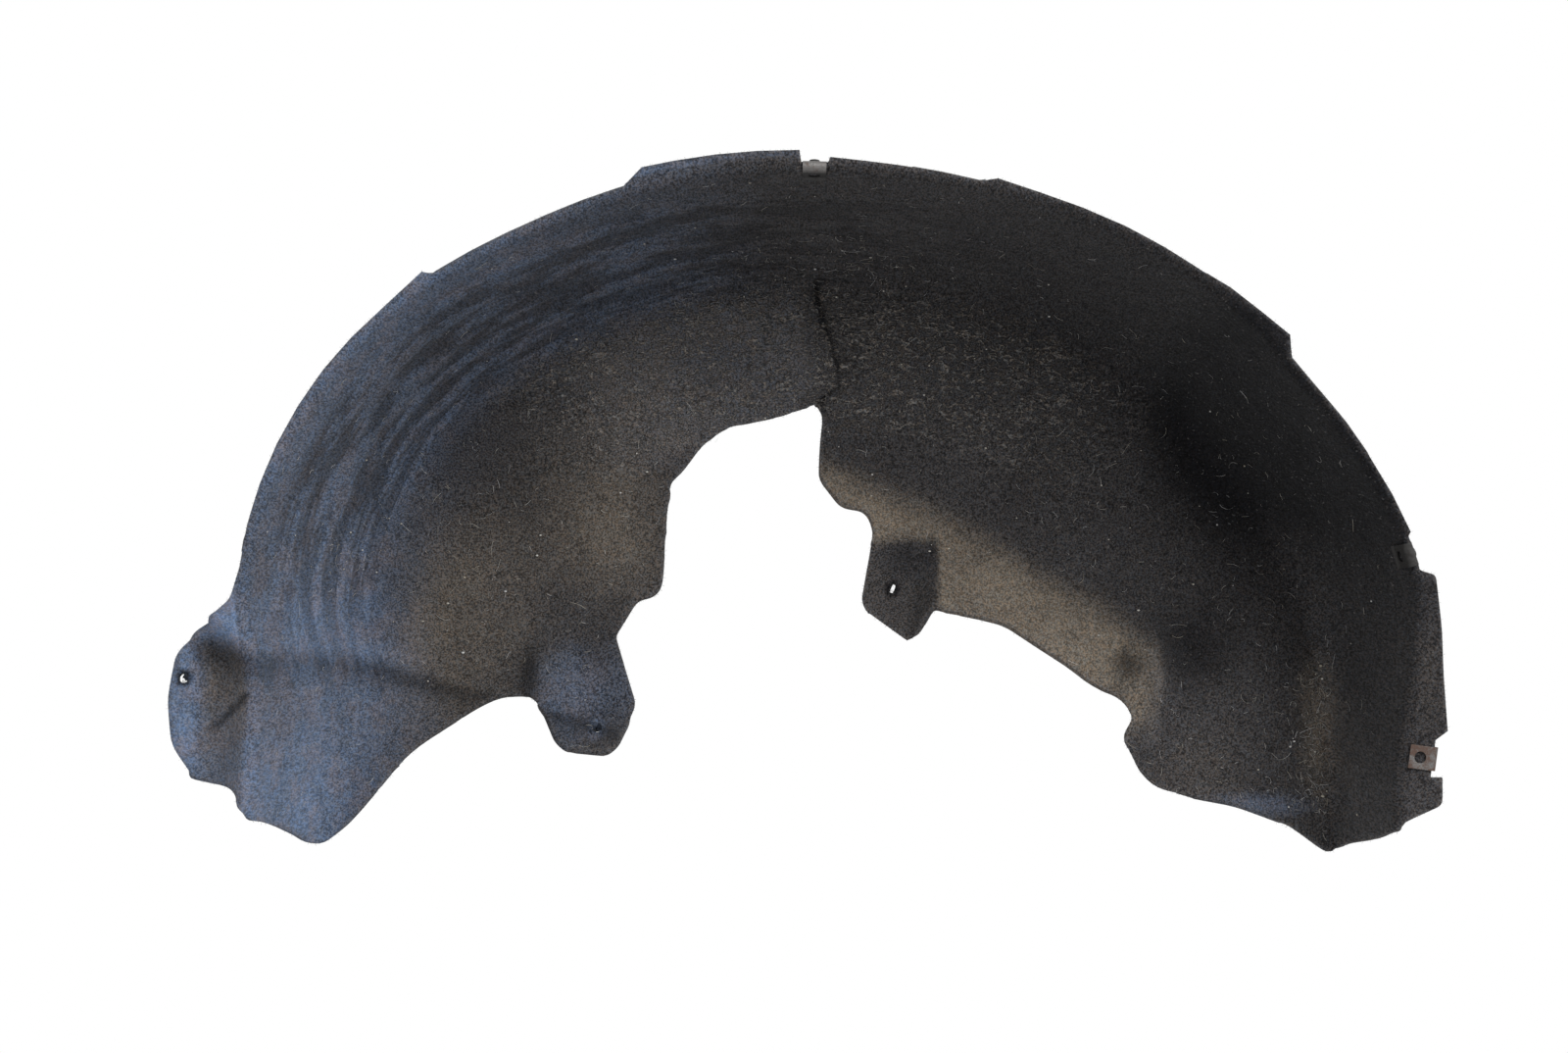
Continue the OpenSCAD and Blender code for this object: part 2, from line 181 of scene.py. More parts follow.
class Arch:
    """The wheel side of the felt, worked out from the add-on's sizes, in millimetres about the wheel axis."""

    def __init__(self, sizes):
        for name, prop in sizes.bl_rna.properties.items():
            if prop.unit == "LENGTH":
                setattr(self, name, getattr(sizes, name) / MM)
        self.band_draft = math.degrees(sizes.band_draft)
        tab = next(m for m in frame["record"]["mounts"] if m["name"] == "rear_tab_hole")
        x, z = self.xz(*REAR_TAB_HOLE)
        middle = np.array([x, self.arch_depth - REAR_TAB_BACK + self.felt_t / 2, z])
        self.datum = middle - np.array(tab["pos_m"]) / MM

    def rim_r(self, a):
        """Radius of the bend line between lip and band."""
        return self.arch_r + station(RIM, a)

    def depth(self, a):
        """Depth of the side wall behind the lip."""
        return self.arch_depth + station(DROP, a)

    def draft(self, a):
        """Draft of the band, in radians."""
        return np.radians(self.band_draft * station(DRAFT, a))

    def foot(self, a):
        """How far in the band would meet the wall without the blend."""
        return self.depth(a) * np.tan(self.draft(a))

    def bend_back(self, a):
        """How far outside the bend line the lip starts to bend."""
        return self.lip_bend * np.tan((np.pi / 2 - self.draft(a)) / 2)

    def bend_end(self, a):
        """How far inside the bend line the bend ends."""
        return self.lip_bend * np.cos(self.draft(a)) - self.bend_back(a)

    def blank_lip(self, a):
        """Width of the blank outside the bend."""
        w = self.rear_flange_w
        t = self.crown_tab_w
        return along_arch([(-9, w + 4), (6, w + 4), (14, w - 4), (20, w - 8), (26, t), (157, t),
                           (165, self.ear_w), (192, self.ear_w)], a)

    def lean(self, a, d):
        """How far the dart's line leans from its plane, in x."""
        path = 2.7 * ease((d - 20) / 30) + 14 * ease((d - 55) / 75) - 15.4 * ease((d - 124) / 16)
        return path * near_dart(a, DART_REACH)

    def xz(self, a, d):
        """Place in the lip plane."""
        r = self.rim_r(a) - d
        t = np.radians(a)
        return r * np.cos(t) + self.lean(a, d), r * np.sin(t)

    def polar(self, x, z):
        """Arch coordinates of a point in the lip plane, the dart's lean taken out step by step."""
        plain = x
        for _ in range(6):
            a = np.degrees(np.arctan2(z, plain))
            a = np.where(a < -90, a + 360, a)
            d = self.rim_r(a) - np.hypot(plain, z)
            plain = x - self.lean(a, d)
        return a, d

    def wall_forms(self, a, d, x, z):
        """Pit, dimple, ridge and rolled edge of the rear side wall."""
        def gap(c):
            cx, cz = self.xz(*c)
            return np.hypot(x - cx, z - cz)

        off = line_gap(x, z, self.xz(*RIDGE[0]), self.xz(*RIDGE[1]))
        crest = np.interp(d, [34, 54, 74, 112, 140], [-6.7, -2.3, 0.2, 0.6, -1])
        rolled = ease((crest - a) * np.radians(1) * np.hypot(x, z) / 18)
        rolled = rolled * ease((d - 20) / 14) * ease((150 - d) / 20)
        return 8 * dome(gap(PIT) / 28) + 4 * dome(gap(DIMPLE) / 13) - 12 * dome(off / 22) - 9 * rolled

    def wall_y(self, a, d):
        """Height of band, blend, wall, ledge and tabs behind the lip plane."""
        x, z = self.xz(a, d)
        band = d / np.tan(self.draft(a))
        slope = station(SLOPE, a)
        wall = self.depth(a) + slope * (d - self.foot(a))
        turn = soft_min(band, wall, self.fillet_blend * station(BLEND, a))
        crease = station(CREASE, a)
        ledge = self.depth(a) + slope * (crease - self.foot(a)) - station(LEDGE, a) * (d - crease)
        y = soft_min(turn, ledge, station(SOFT, a)) + self.wall_forms(a, d, x, z)
        cx, cz = self.xz(*REAR_TAB_HOLE)
        m = ease((48 - z + cz) / 18) * ease((29 - x + cx) / 16) * ease((x - cx + 55) / 20)
        y = mix(y, self.arch_depth - REAR_TAB_BACK, m * (d > 190) * (a < 100))
        cx, cz = self.xz(*FRONT_TAB_HOLE)
        m = ease((66 - z + cz) / 25) * ease((x - cx + 53) / 18) * ease((51 - x + cx) / 15)
        drop = 0.8 * np.maximum(0, cx - 15 - x) + 1.9 * np.maximum(0, cz + 6.5 - z)
        return mix(y, self.arch_depth - FRONT_TAB_BACK - drop, m * (d > 120) * (a > 140))

    def pocket_y(self, a, e):
        """Height of the pocket between the ear's strip and the bend, e outside the bend."""
        rise = ease(e / 20) - 0.8 * ease((e - self.ear_w + self.ear_strip + 9) / 9)
        return self.ear_pocket * ease((a - 162) / 4) * rise

    def surface(self, a, d, front):
        """Points of the wheel side; front says which side of the dart each one belongs to."""
        back = self.bend_back(a)
        x, z = self.xz(a, d)
        lip = self.pocket_y(a, -d - back)
        s = np.clip((d + back) / self.lip_bend, 0, 1)
        bend = self.lip_bend * (1 - np.sqrt(1 - s * s))
        end = self.bend_end(a)
        y = np.where(d < -back, lip, np.where(d < end, bend, self.wall_y(a, np.maximum(d, end))))
        flap = self.dart_step * ease((d - 60) / 50)
        y = y - flap * near_dart(a, DART_REACH) * front
        slot = ease((d - DART_TOP) / 4) * ease((74 - d) / 10) * near_dart(a, 1.5)
        x = x - self.relief_w * slot * front
        under = ease((d - DART_TOP) / 9) * ease((142 - d) / 10) * (1 - front)
        x = x - 7 * under * near_dart(a, 7)
        y = y + np.maximum(0, self.felt_t + 0.6 - flap) * under * near_dart(a, 4)
        return np.stack([x, y, z], -1)

    def normals(self, a, d, front):
        """Unit normals towards the wheel."""
        step = 0.3
        u = self.surface(a + step, d, front) - self.surface(a - step, d, front)
        v = self.surface(a, d + step, front) - self.surface(a, d - step, front)
        n = np.cross(u, v)
        n /= np.linalg.norm(n, axis=-1, keepdims=True)
        return n * np.where(n[..., 1:2] > 0, -1, 1)

    def heading(self, a):
        """Direction square to the bend line, in the lip plane."""
        fall = (self.rim_r(a + 0.5) - self.rim_r(a - 0.5)) / (self.rim_r(a) * np.radians(1))
        return np.radians(a) - np.arctan(fall)

    def notch(self, a, out, side):
        """Two corners of a notch in the edge, square to the bend line."""
        h = self.heading(a)
        r = self.rim_r(a)
        t = np.radians(a)
        c = r * np.array([math.cos(t), math.sin(t)]) + out * np.array([math.cos(h), math.sin(h)])
        ends = []
        for k in (self.nut_w / 2 + side, -self.nut_w / 2 - side):
            x, z = c + k * np.array([-math.sin(h), math.cos(h)])
            a_end, d_end = self.polar(x, z)
            ends.append((float(a_end), float(d_end), 0))
        return ends

    def outline(self):
        """The cut edge, clockwise from the ear: angle, distance in, corner size."""
        def run(a0, a1, w0, w1):
            n = max(1, math.ceil(abs(a1 - a0) / 4))
            return [(mix(a0, a1, k / n), -mix(w0, w1, k / n), 0) for k in range(n + 1)]

        lip, tab, rear, ear = self.lip_w, self.crown_tab_w, self.rear_flange_w, self.ear_w
        band_notch = 0.75 * self.felt_t
        outer = [
            (163.4, -29, 2), (162.7, -27, 1), (160.5, -11, 4), *run(157.5, 131, lip, lip),
            (126.5, -lip - 3.5, 1), *run(125.8, 107.5, lip - 2, lip - 1), (105.4, -tab - 2, 2),
            *run(102.6, 91.6, tab + 1.5, tab), *self.notch(90.3, band_notch, 0.8),
            *run(88.9, 75.5, lip + 2, lip - 2), (74, -lip - 2.5, 2), *run(70, 54.2, lip + 1, lip),
            (53.8, -lip - 0.5, 1), *run(51.5, 48, lip + 2, lip + 3), (45, -lip - 6.5, 2),
            *run(43.4, 24.9, lip - 2, lip + 1), *self.notch(23.1, band_notch, 3),
            (20.6, 10 - rear, 3), (16, 8 - rear, 8), (12, 4 - rear, 8), (6.9, -rear - 5, 2),
            *self.notch(5.2, rear - 2.5, 4.5), (2.7, -rear - 4.5, 1), (0.2, -rear - 4.5, 4),
        ]
        inner = [
            (-1.5, -4, 6), (-2.4, 0.8, 6), (-4.6, 4.5, 10), (-7.1, 13, 5), (-7.1, 18, 8), (-4, 48, 15),
            (-1.8, 82, 15), (0.2, 134, 8), (2.5, 146, 10), (10, 172, 6), (13.2, 169, 5), (17, 182, 8),
            (20.5, 202, 10), (25, 213, 10), (40, 236, 6), (49, 257, 8), (55.5, 264, 3), (56.3, 268, 3),
            (55.1, 291, 3), (56.1, 294, 2), (73.1, 282, 3), (75.2, 275, 3), (76.5, 222, 8), (79, 211, 6),
            (84.5, 210, 6), (89.3, 191, 5), (89.2, 170, 8), (88.9, 148, 4), (89.7, 141.5, 2),
            (90.4, 140.3, 1), (91.6, 142.3, 3), (95.5, 148, 8), (104.2, 150, 8), (109, 159, 6),
            (113.3, 171, 6), (116, 175, 4), (121, 205, 10), (126, 232, 8), (128.5, 240.5, 6),
            (131.3, 242, 5), (134.5, 236, 5),
            (143.8, 236, 3), (156.7, 256, 4), (167.4, 224, 4), (170, 214, 4), (170.8, 187, 5),
            (169, 179, 4), (163.6, 175, 7), (163, 168, 6), (164.2, 145, 10), (167.8, 118, 14),
            (174.8, 78, 14), (182.2, 52, 14), (186.2, 32, 8), (186, 22, 8), (182.5, 8, 10),
            (179.9, -10.5, 3), (178.9, -11, 3), (178.3, -16, 3), (177.9, 22 - ear, 6), (174.5, 3 - ear, 8),
            (170.6, -ear - 2, 6), (166.5, 4 - ear, 7),
        ]
        return outer + inner


def rounded_path(arch, corners, step):
    """The outline in arch coordinates, corners rounded and long stretches divided, and its sharp corners."""
    places = [np.array(arch.xz(a, d), float) for a, d, _ in corners]
    path = []
    sharp = []
    for k, (a, d, size) in enumerate(corners):
        p = places[k]
        if size < 1:
            path.append(p)
        else:
            ends = []
            for other in (places[k - 1], places[(k + 1) % len(places)]):
                way = other - p
                length = np.linalg.norm(way)
                ends.append(p + way / length * min(size, length / 2))
            for t in np.linspace(0, 1, 5):
                path.append((1 - t) ** 2 * ends[0] + 2 * t * (1 - t) * p + t * t * ends[1])
        if size <= 2:
            sharp.append(p)
    dense = []
    for p, q in zip(path, path[1:] + path[:1]):
        n = max(1, math.ceil(np.linalg.norm(q - p) / step))
        dense += [mix(p, q, k / n) for k in range(n)]
    dense = np.array(dense)
    sharp = np.array(sharp)
    return [np.stack(arch.polar(part[:, 0], part[:, 1]), -1) for part in (dense, sharp)]


class Blank:
    """The felt blank as a grid of columns along the arch and rows from the lip inward."""

    LIP_ROWS = 20
    BEND_ROWS = 5

    def __init__(self, arch, columns_front, columns_rear, wall_rows):
        self.arch = arch
        self.seam = columns_front
        self.columns = columns_front + columns_rear
        self.rows = self.LIP_ROWS + self.BEND_ROWS + wall_rows
        self.column_a = np.interp(
            np.arange(self.columns + 1), [0, self.seam, self.columns], [FRONT_END, DART_AT, REAR_END])
        self.table = np.array([self.row_places(a, wall_rows) for a in self.column_a])

    def row_places(self, a, wall_rows):
        """Distance in of each row at one angle, evenly spaced along the section."""
        arch = self.arch
        back = float(arch.bend_back(a))
        lip = -back - float(arch.blank_lip(a)) * (1 - np.arange(self.LIP_ROWS) / self.LIP_ROWS)
        turn = (np.pi / 2 - float(arch.draft(a))) * np.arange(self.BEND_ROWS) / self.BEND_ROWS
        bend = arch.lip_bend * np.sin(turn) - back
        start = float(arch.bend_end(a))
        reach = float(along_arch(BLANK_REACH, a))
        d = start + (reach - start) * np.linspace(0, 1, 260) ** 1.7
        y = arch.wall_y(np.full_like(d, a), d)
        length = np.concatenate([[0], np.cumsum(np.hypot(np.diff(d), np.diff(y)))])
        wall = np.interp(np.linspace(0, length[-1], wall_rows + 1), length, d)
        return np.concatenate([lip, bend, wall])

    def to_grid(self, a, d):
        """Column and row of arch coordinates, as fractions."""
        u = np.interp(-a, -self.column_a, np.arange(self.columns + 1))
        low = np.clip(u.astype(int), 0, self.columns - 1)
        rows = np.arange(self.rows + 1)
        v = [mix(np.interp(dd, self.table[i], rows), np.interp(dd, self.table[i + 1], rows), uu - i)
             for i, uu, dd in zip(low, u, d)]
        return u, np.array(v)

    def to_arch(self, u, v):
        """Arch coordinates of grid places."""
        i = np.clip(u.astype(int), 0, self.columns - 1)
        j = np.clip(v.astype(int), 0, self.rows - 1)
        t = self.table
        near = mix(t[i, j], t[i, j + 1], v - j)
        far = mix(t[i + 1, j], t[i + 1, j + 1], v - j)
        return np.interp(u, np.arange(self.columns + 1), self.column_a), mix(near, far, u - i)


def inside(points, path):
    """Which points lie inside the closed path, by counting crossings."""
    result = np.zeros(len(points), bool)
    q = np.roll(path, -1, axis=0)
    for (x0, y0), (x1, y1) in zip(path, q):
        if y0 == y1:
            continue
        across = (points[:, 1] > y0) != (points[:, 1] > y1)
        x = x0 + (points[:, 1] - y0) * (x1 - x0) / (y1 - y0)
        result ^= across & (points[:, 0] < x)
    return result


def nearest_on_path(points, path):
    """For each point, the nearest place on the closed path."""
    start = path[None]
    way = np.roll(path, -1, axis=0)[None] - start
    length = np.maximum((way**2).sum(-1), 1e-12)
    result = np.empty_like(points)
    for k, p in enumerate(points):
        t = np.clip(((p - start) * way).sum(-1) / length, 0, 1)
        on = start + way * t[..., None]
        result[k] = on[0][((on - p) ** 2).sum(-1).argmin()]
    return result


def crossing(path, x):
    """Where the closed path crosses the upright line at x, as heights."""
    q = np.roll(path, -1, axis=0)
    over = (path[:, 0] > x) != (q[:, 0] > x)
    share = (x - path[over, 0]) / (q[over, 0] - path[over, 0])
    return mix(path[over, 1], q[over, 1], share)


def trimmed_blank(blank):
    """Cuts the two halves of the blank to the outline; vertices lie at grid column and row."""
    bm = bmesh.new()
    front = bm.verts.layers.float.new("front")
    for first, last, side in ((0, blank.seam, 1), (blank.seam, blank.columns, 0)):
        made = bmesh.ops.create_grid(bm, x_segments=last - first, y_segments=blank.rows, size=1)["verts"]
        for v in made:
            v.co.x = round(mix(first, last, (v.co.x + 1) / 2))
            v.co.y = round((v.co.y + 1) / 2 * blank.rows)
            v[front] = side
    path, sharp = rounded_path(blank.arch, blank.arch.outline(), 2.0)
    path = np.stack(blank.to_grid(path[:, 0], path[:, 1]), -1)
    sharp = np.stack(blank.to_grid(sharp[:, 0], sharp[:, 1]), -1)
    faces = list(bm.faces)
    centres = np.array([f.calc_center_median()[:2] for f in faces])
    keep = inside(centres, path)
    bmesh.ops.delete(bm, geom=[f for f, k in zip(faces, keep) if not k], context="FACES")
    on_seam = [v for v in bm.verts if v.co.x == blank.seam]
    ends = crossing(path, blank.seam)
    for end in (ends.min(), ends.max()):
        for side in (0, 1):
            column = [v for v in on_seam if v[front] == side]
            pick = (min if end == ends.min() else max)(column, key=lambda v: v.co.y)
            pick.co.y = end
    edge = [v for v in bm.verts if v.is_boundary and v.co.x != blank.seam]
    places = nearest_on_path(np.array([v.co[:2] for v in edge]), path)
    for corner in sharp:
        gap = ((places - corner) ** 2).sum(-1)
        if gap.min() < 2:
            places[gap.argmin()] = corner
    for v, (x, y) in zip(edge, places):
        v.co.x, v.co.y = x, y
    return bm, path


def edge_gap(points, path):
    """Distance of each point from the closed path."""
    gap = np.full(len(points), np.inf)
    for p, q in zip(path, np.roll(path, -1, axis=0)):
        way = q - p
        t = np.clip((points - p) @ way / max(way @ way, 1e-12), 0, 1)
        gap = np.minimum(gap, np.linalg.norm(points - p - t[:, None] * way, axis=1))
    return gap


def wrinkle(p, size, seed):
    """Smooth noise from -1 to 1, about size millimetres from bump to bump."""
    return noise.noise(Vector(p) / size + Vector((seed, seed * 1.7, -seed)))


HOLES = ("ear_hole", "front_tab_hole", "rear_tab_hole")


def hole(name, felt_t):
    """Centre on the wheel side, axis and radius of a hole in the felt, in metres in the record's frame."""
    mount = next(m for m in frame["record"]["mounts"] if m["name"] == name)
    normal = Vector(mount["axis"])
    return Vector(mount["pos_m"]) + normal * felt_t / 2, normal, mount["dims"]["r_mm"] * MM


def punch(bm, centre, normal, radius):
    """Opens a round hole: insets the faces about the nearest vertex and rounds the ring they leave."""
    v = min(bm.verts, key=lambda w: (w.co - centre).length_squared)
    rise = normal * (v.co - centre).dot(normal)
    bmesh.ops.inset_region(bm, faces=v.link_faces[:], thickness=HOLE_RIM, use_boundary=True)
    ring = list({e for f in v.link_faces for e in f.edges if v not in e.verts})
    bmesh.ops.delete(bm, geom=[v], context="VERTS")
    made = bmesh.ops.subdivide_edges(bm, edges=ring, cuts=1)["geom_inner"]
    halfway = [g for g in made if isinstance(g, bmesh.types.BMVert)]
    for w in {u for h in halfway for e in h.link_edges if e.is_boundary for u in e.verts}:
        out = w.co - centre
        out -= normal * out.dot(normal)
        w.co = centre + rise + out.normalized() * radius


# Creases pressed into the felt, in the lip plane: two ends, width, height
CREASES = (
    ((-145, 172), (-107, 200), 6, -1.3), ((-131, 155), (-106, 180), 6, -1.3),
    ((-218, 96), (-237, 76), 5, 1.2), ((-284, 58), (-250, 52), 5, 1.0),
    ((-386, 49), (-360, 72), 6, 1.6), ((-383, 27), (-364, 55), 6, 1.4),
    ((-376, 78), (-352, 92), 8, 1.8), ((-392, 96), (-366, 84), 6, 1.2),
    ((-340, 4), (-352, -22), 9, -1.6), ((24, 228), (60, 214), 6, 0.8),
)


def stroke(x, z, start, end, width):
    """1 on the line between two points of the lip plane, and 0 from width on."""
    return dome(line_gap(x, z, start, end) / width)


def spots(x, z, table):
    """Sum of oval spots in the lip plane: middle, half sizes and strength of each."""
    return sum(strength * dome(np.hypot((x - cx) / wide, (z - cz) / high))
               for cx, cz, wide, high, strength in table)


def felt_relief(arch, a, d, p, matted):
    """Unevenness of the felt, in millimetres towards the body."""
    lift = np.array([1.5 * wrinkle(q, 85, 3.1) + 0.6 * wrinkle(q, 26, 7.7) for q in p])
    lift += matted * np.array([1.3 * abs(wrinkle((q[0], q[1], 2 * q[2]), 15, 1.3)) + 0.5 * wrinkle(q, 7, 5.9)
                               for q in p])
    groove = np.sin(2 * np.pi * d / 10.5 + 2.2 * np.array([wrinkle(q, 120, 9.4) for q in p]))
    lift += 0.55 * groove * band_mask(a, d)
    for start, end, width, height in CREASES:
        lift += height * stroke(p[:, 0], p[:, 2], start, end, width)
    folds = np.array([1.1 * wrinkle(q, 17, 2.2) for q in p]) * ease((a - 163) / 4) * ease((-d - 12) / 8)
    return lift * ease((d + arch.bend_back(a) + 1) / 12) + folds


def band_mask(a, d):
    """Where the tread band and its fillet carry streaks round the arch."""
    return ease((d - 4) / 6) * ease((64 - d) / 20) * ease((a - 58) / 40) * ease((178 - a) / 30)


# Dirt, painted light and painted shade on the felt in the lip plane, in millimetres about the wheel axis:
# middle, half sizes, strength
DUST_SPOTS = (
    (-130, 165, 62, 75, 0.34), (-280, 130, 100, 130, 0.26), (-175, 190, 80, 80, 0.12),
    (258, 12, 48, 36, 0.12), (386, 84, 16, 52, 0.18), (345, 40, 22, 80, 0.55),
)
# Spots of painted bluish light with a film of fine mud
SKYLIGHT_AND_MUD_SPOTS = (
    (-340, 108, 64, 44, 0.20), (-372, 0, 66, 90, 0.42), (-170, 60, 34, 48, 0.34), (-136, 66, 30, 44, 0.18),
    (292, -12, 62, 13, 0.34), (350, 40, 16, 100, 0.04),
)
# Spots of painted shade: the deep rear corner, the pit, the rear tab's recess, the left valley and the dimple
SHADE_SPOTS = (
    (300, 250, 90, 120, 0.80), (262, 96, 50, 52, 0.72), (66, 157, 26, 26, 0.60), (-205, 205, 60, 60, 0.35),
    (214, 83, 19, 17, 0.70),
)
# Painted shade along a crease, the rear tab's recess wall and the dart's slot: two ends, half width, strength
SHADE_LINES = (
    ((-386, 49), (-362, 70), 5, 0.7), ((84, 166), (84, 128), 9, 0.5), ((0.2, 341), (5.6, 321), 4.5, 1),
)
# A spot kept free of dust for the painted shadow at the rear tab's top
TAB_SHADOW_SPOT = (66, 157, 30, 24, 0.3)


class Zones:
    """Parts of the liner that dirt, wear and painted light and shade follow, each as values from 0 to 1."""

    def __init__(self, arch, a, d, x, z):
        self.a, self.d, self.x, self.z = a, d, x, z
        self.out = -d - arch.bend_back(a)
        self.ear = ease((a - 163) / 3)
        self.pocket = self.ear * ease((self.out + 2) / 7) * ease((36 - self.out) / 10)
        self.strip = self.ear * ease((self.out - 30) / 10)
        self.lip = ease(self.out / 3) * (1 - self.ear) * ease((a - 26) / 10)
        self.ledge = ease((d - station(CREASE, a) + 14) / 38) * ease((a - 8) / 6) * ease((96 - a) / 6)
        # The ridge's crest, which gets a painted highlight
        self.crest = stroke(x, z, (233, 92), (235, 72), 8) + stroke(x, z, (235, 72), (224, 32), 7)
        self.valley = stroke(x, z, (-132, 245), (-242, 106), 75) + stroke(x, z, (-242, 106), (-298, 24), 60)
        # Painted light over the dark band where the band turns near the front end
        self.heel = stroke(x, z, (-352, 92), (-288, 86), 16)
        self.worn = ease((a - 91) / 3) * ease((128 - a) / 16) * ease((d - 48) / 30) * ease((175 - d) / 30)
        # The front fillet, which gets painted bluish light
        self.fillet = ease((a - 126) / 40) * ease((d - 3) / 18) * ease((112 - d) / 46)
        self.tab = ease((90 - x) / 7) * ease((172 - z) / 12) * (a < 100) * (d > 190)

    def ring(self, arch, name):
        """Narrow ring about a hole."""
        centre, _, radius = hole(name, arch.felt_t * MM)
        cx, _, cz = np.array(centre) / MM + arch.datum
        return ease((radius / MM + 4 - np.hypot(self.x - cx, self.z - cz)) / 3)


def dust_and_light_mask(zone):
    """Pale road dust on the ledges and in the valleys, with painted light from above on the ledges, a painted
    highlight on the crest, painted light over the heel and a painted shadow at the rear tab.
    """
    a = zone.a
    dust = 0.05 + zone.ledge * (0.74 - 0.02 * ease((68 - a) / 30) - 0.2 * ease((26 - a) / 12))
    # The crest's share is a painted highlight
    dust += 0.20 * np.minimum(zone.valley, 1) + 0.28 * zone.worn + 0.46 * zone.pocket + 0.16 * zone.crest
    dust += 0.04 * ease((18 - a) / 12) + spots(zone.x, zone.z, DUST_SPOTS)
    # The recessed rear tab takes less dust, for painted shade; the heel takes painted light
    return mix(dust, 0.18, zone.tab) - spots(zone.x, zone.z, [TAB_SHADOW_SPOT]) + 0.06 * zone.heel


def skylight_and_mud_mask(arch, zone):
    """Painted bluish light on the front half (band, fillet, ear strip, lip and heel) with a blue-grey film of
    fine mud.
    """
    a, d = zone.a, zone.d
    # Painted bluish light on the front band and fillet
    skylight_and_mud = 0.22 * ease((a - 92) / 20) * ease((75 - d) / 30) + 0.25 * zone.fillet
    skylight_and_mud += 0.24 * ease((a - 108) / 20) * ease((158 - a) / 14) * ease((15 - d) / 12)
    skylight_and_mud += 0.16 * ease((a - 140) / 26) * ease((34 - d) / 20) + spots(zone.x, zone.z, SKYLIGHT_AND_MUD_SPOTS)
    # Painted bluish light on the ear strip and over the heel; less in the pocket
    skylight_and_mud += 0.12 * zone.heel + 0.36 * zone.strip - 0.28 * zone.pocket + 0.10 * zone.worn + 0.04 * zone.crest
    # Painted light on the lip, growing towards the front end
    skylight_and_mud += zone.lip * (0.12 + 0.60 * ease((a - 92) / 50))
    return skylight_and_mud + 0.4 * zone.ring(arch, "front_tab_hole")


def painted_shade_mask(arch, zone, front):
    """Painted shade in the deep rear corner, along the rear band, at the ear's step, in creases, pit and
    dimple and in rings about two holes, and painted shadow under the lap of the dart.
    """
    a, d, x, z = zone.a, zone.d, zone.x, zone.z
    soot = 0.55 * ease((96 - a) / 40) * ease((a - 14) / 16) * ease((120 - d) / 70) + spots(x, z, SHADE_SPOTS)
    # Painted shadow at the step between ear and arch
    soot += 0.7 * zone.ear * ease((170 - a) / 5) * ease((42 - zone.out) / 10)
    # Painted shade on the rear band
    soot += 0.45 * ease((58 - a) / 30) * ease((36 - d) / 26) * ease((a + 2) / 8)
    for start, end, width, strength in SHADE_LINES:
        soot += strength * stroke(x, z, start, end, width)
    soot += 0.9 * (zone.ring(arch, "ear_hole") + zone.ring(arch, "rear_tab_hole"))
    beside = np.abs(a - DART_AT) * np.radians(1) * np.hypot(x, z)
    # Painted shadow along the dart: narrow on the front flap, wider on the rear sheet beneath it
    along = ease((d - DART_TOP + 3) / 5) * ease((152 - d) / 10)
    return soot + along * np.where(front > 0.5, 0.6 * ease((4 - beside) / 4), 1.5 * ease((11 - beside) / 9))


def felt_masks(arch, a, d, p, front, to_edge):
    """Where the felt is dusty, muddy, matted, streaked and frayed, and where light and shade are painted on
    it, as values at its vertices.
    """
    zone = Zones(arch, a, d, p[:, 0], p[:, 2])
    # Dust, mud, painted light and painted shade, kept between 0 and 1
    dirt = {"dust": dust_and_light_mask(zone), "cool": skylight_and_mud_mask(arch, zone), "soot": painted_shade_mask(arch, zone, front)}
    return {
        **{name: np.clip(values, 0, 1) for name, values in dirt.items()},
        "matted": ease((d - 48) / 22) * ease((165 - d) / 30) * ease((a - 40) / 24) * ease((134 - a) / 14),
        "streaked": band_mask(a, d), "frayed": ease((2.6 - to_edge) / 2.6),
        "round": np.radians(a) * arch.arch_r * MM, "inward": d * MM,
    }


def shown(bm, name):
    """Puts a finished mesh into the scene as a smooth piece."""
    mesh = bpy.data.meshes.new(name)
    bm.to_mesh(mesh)
    bm.free()
    mesh.shade_smooth()
    piece = bpy.data.objects.new(name, mesh)
    bpy.context.scene.collection.objects.link(piece)
    return piece


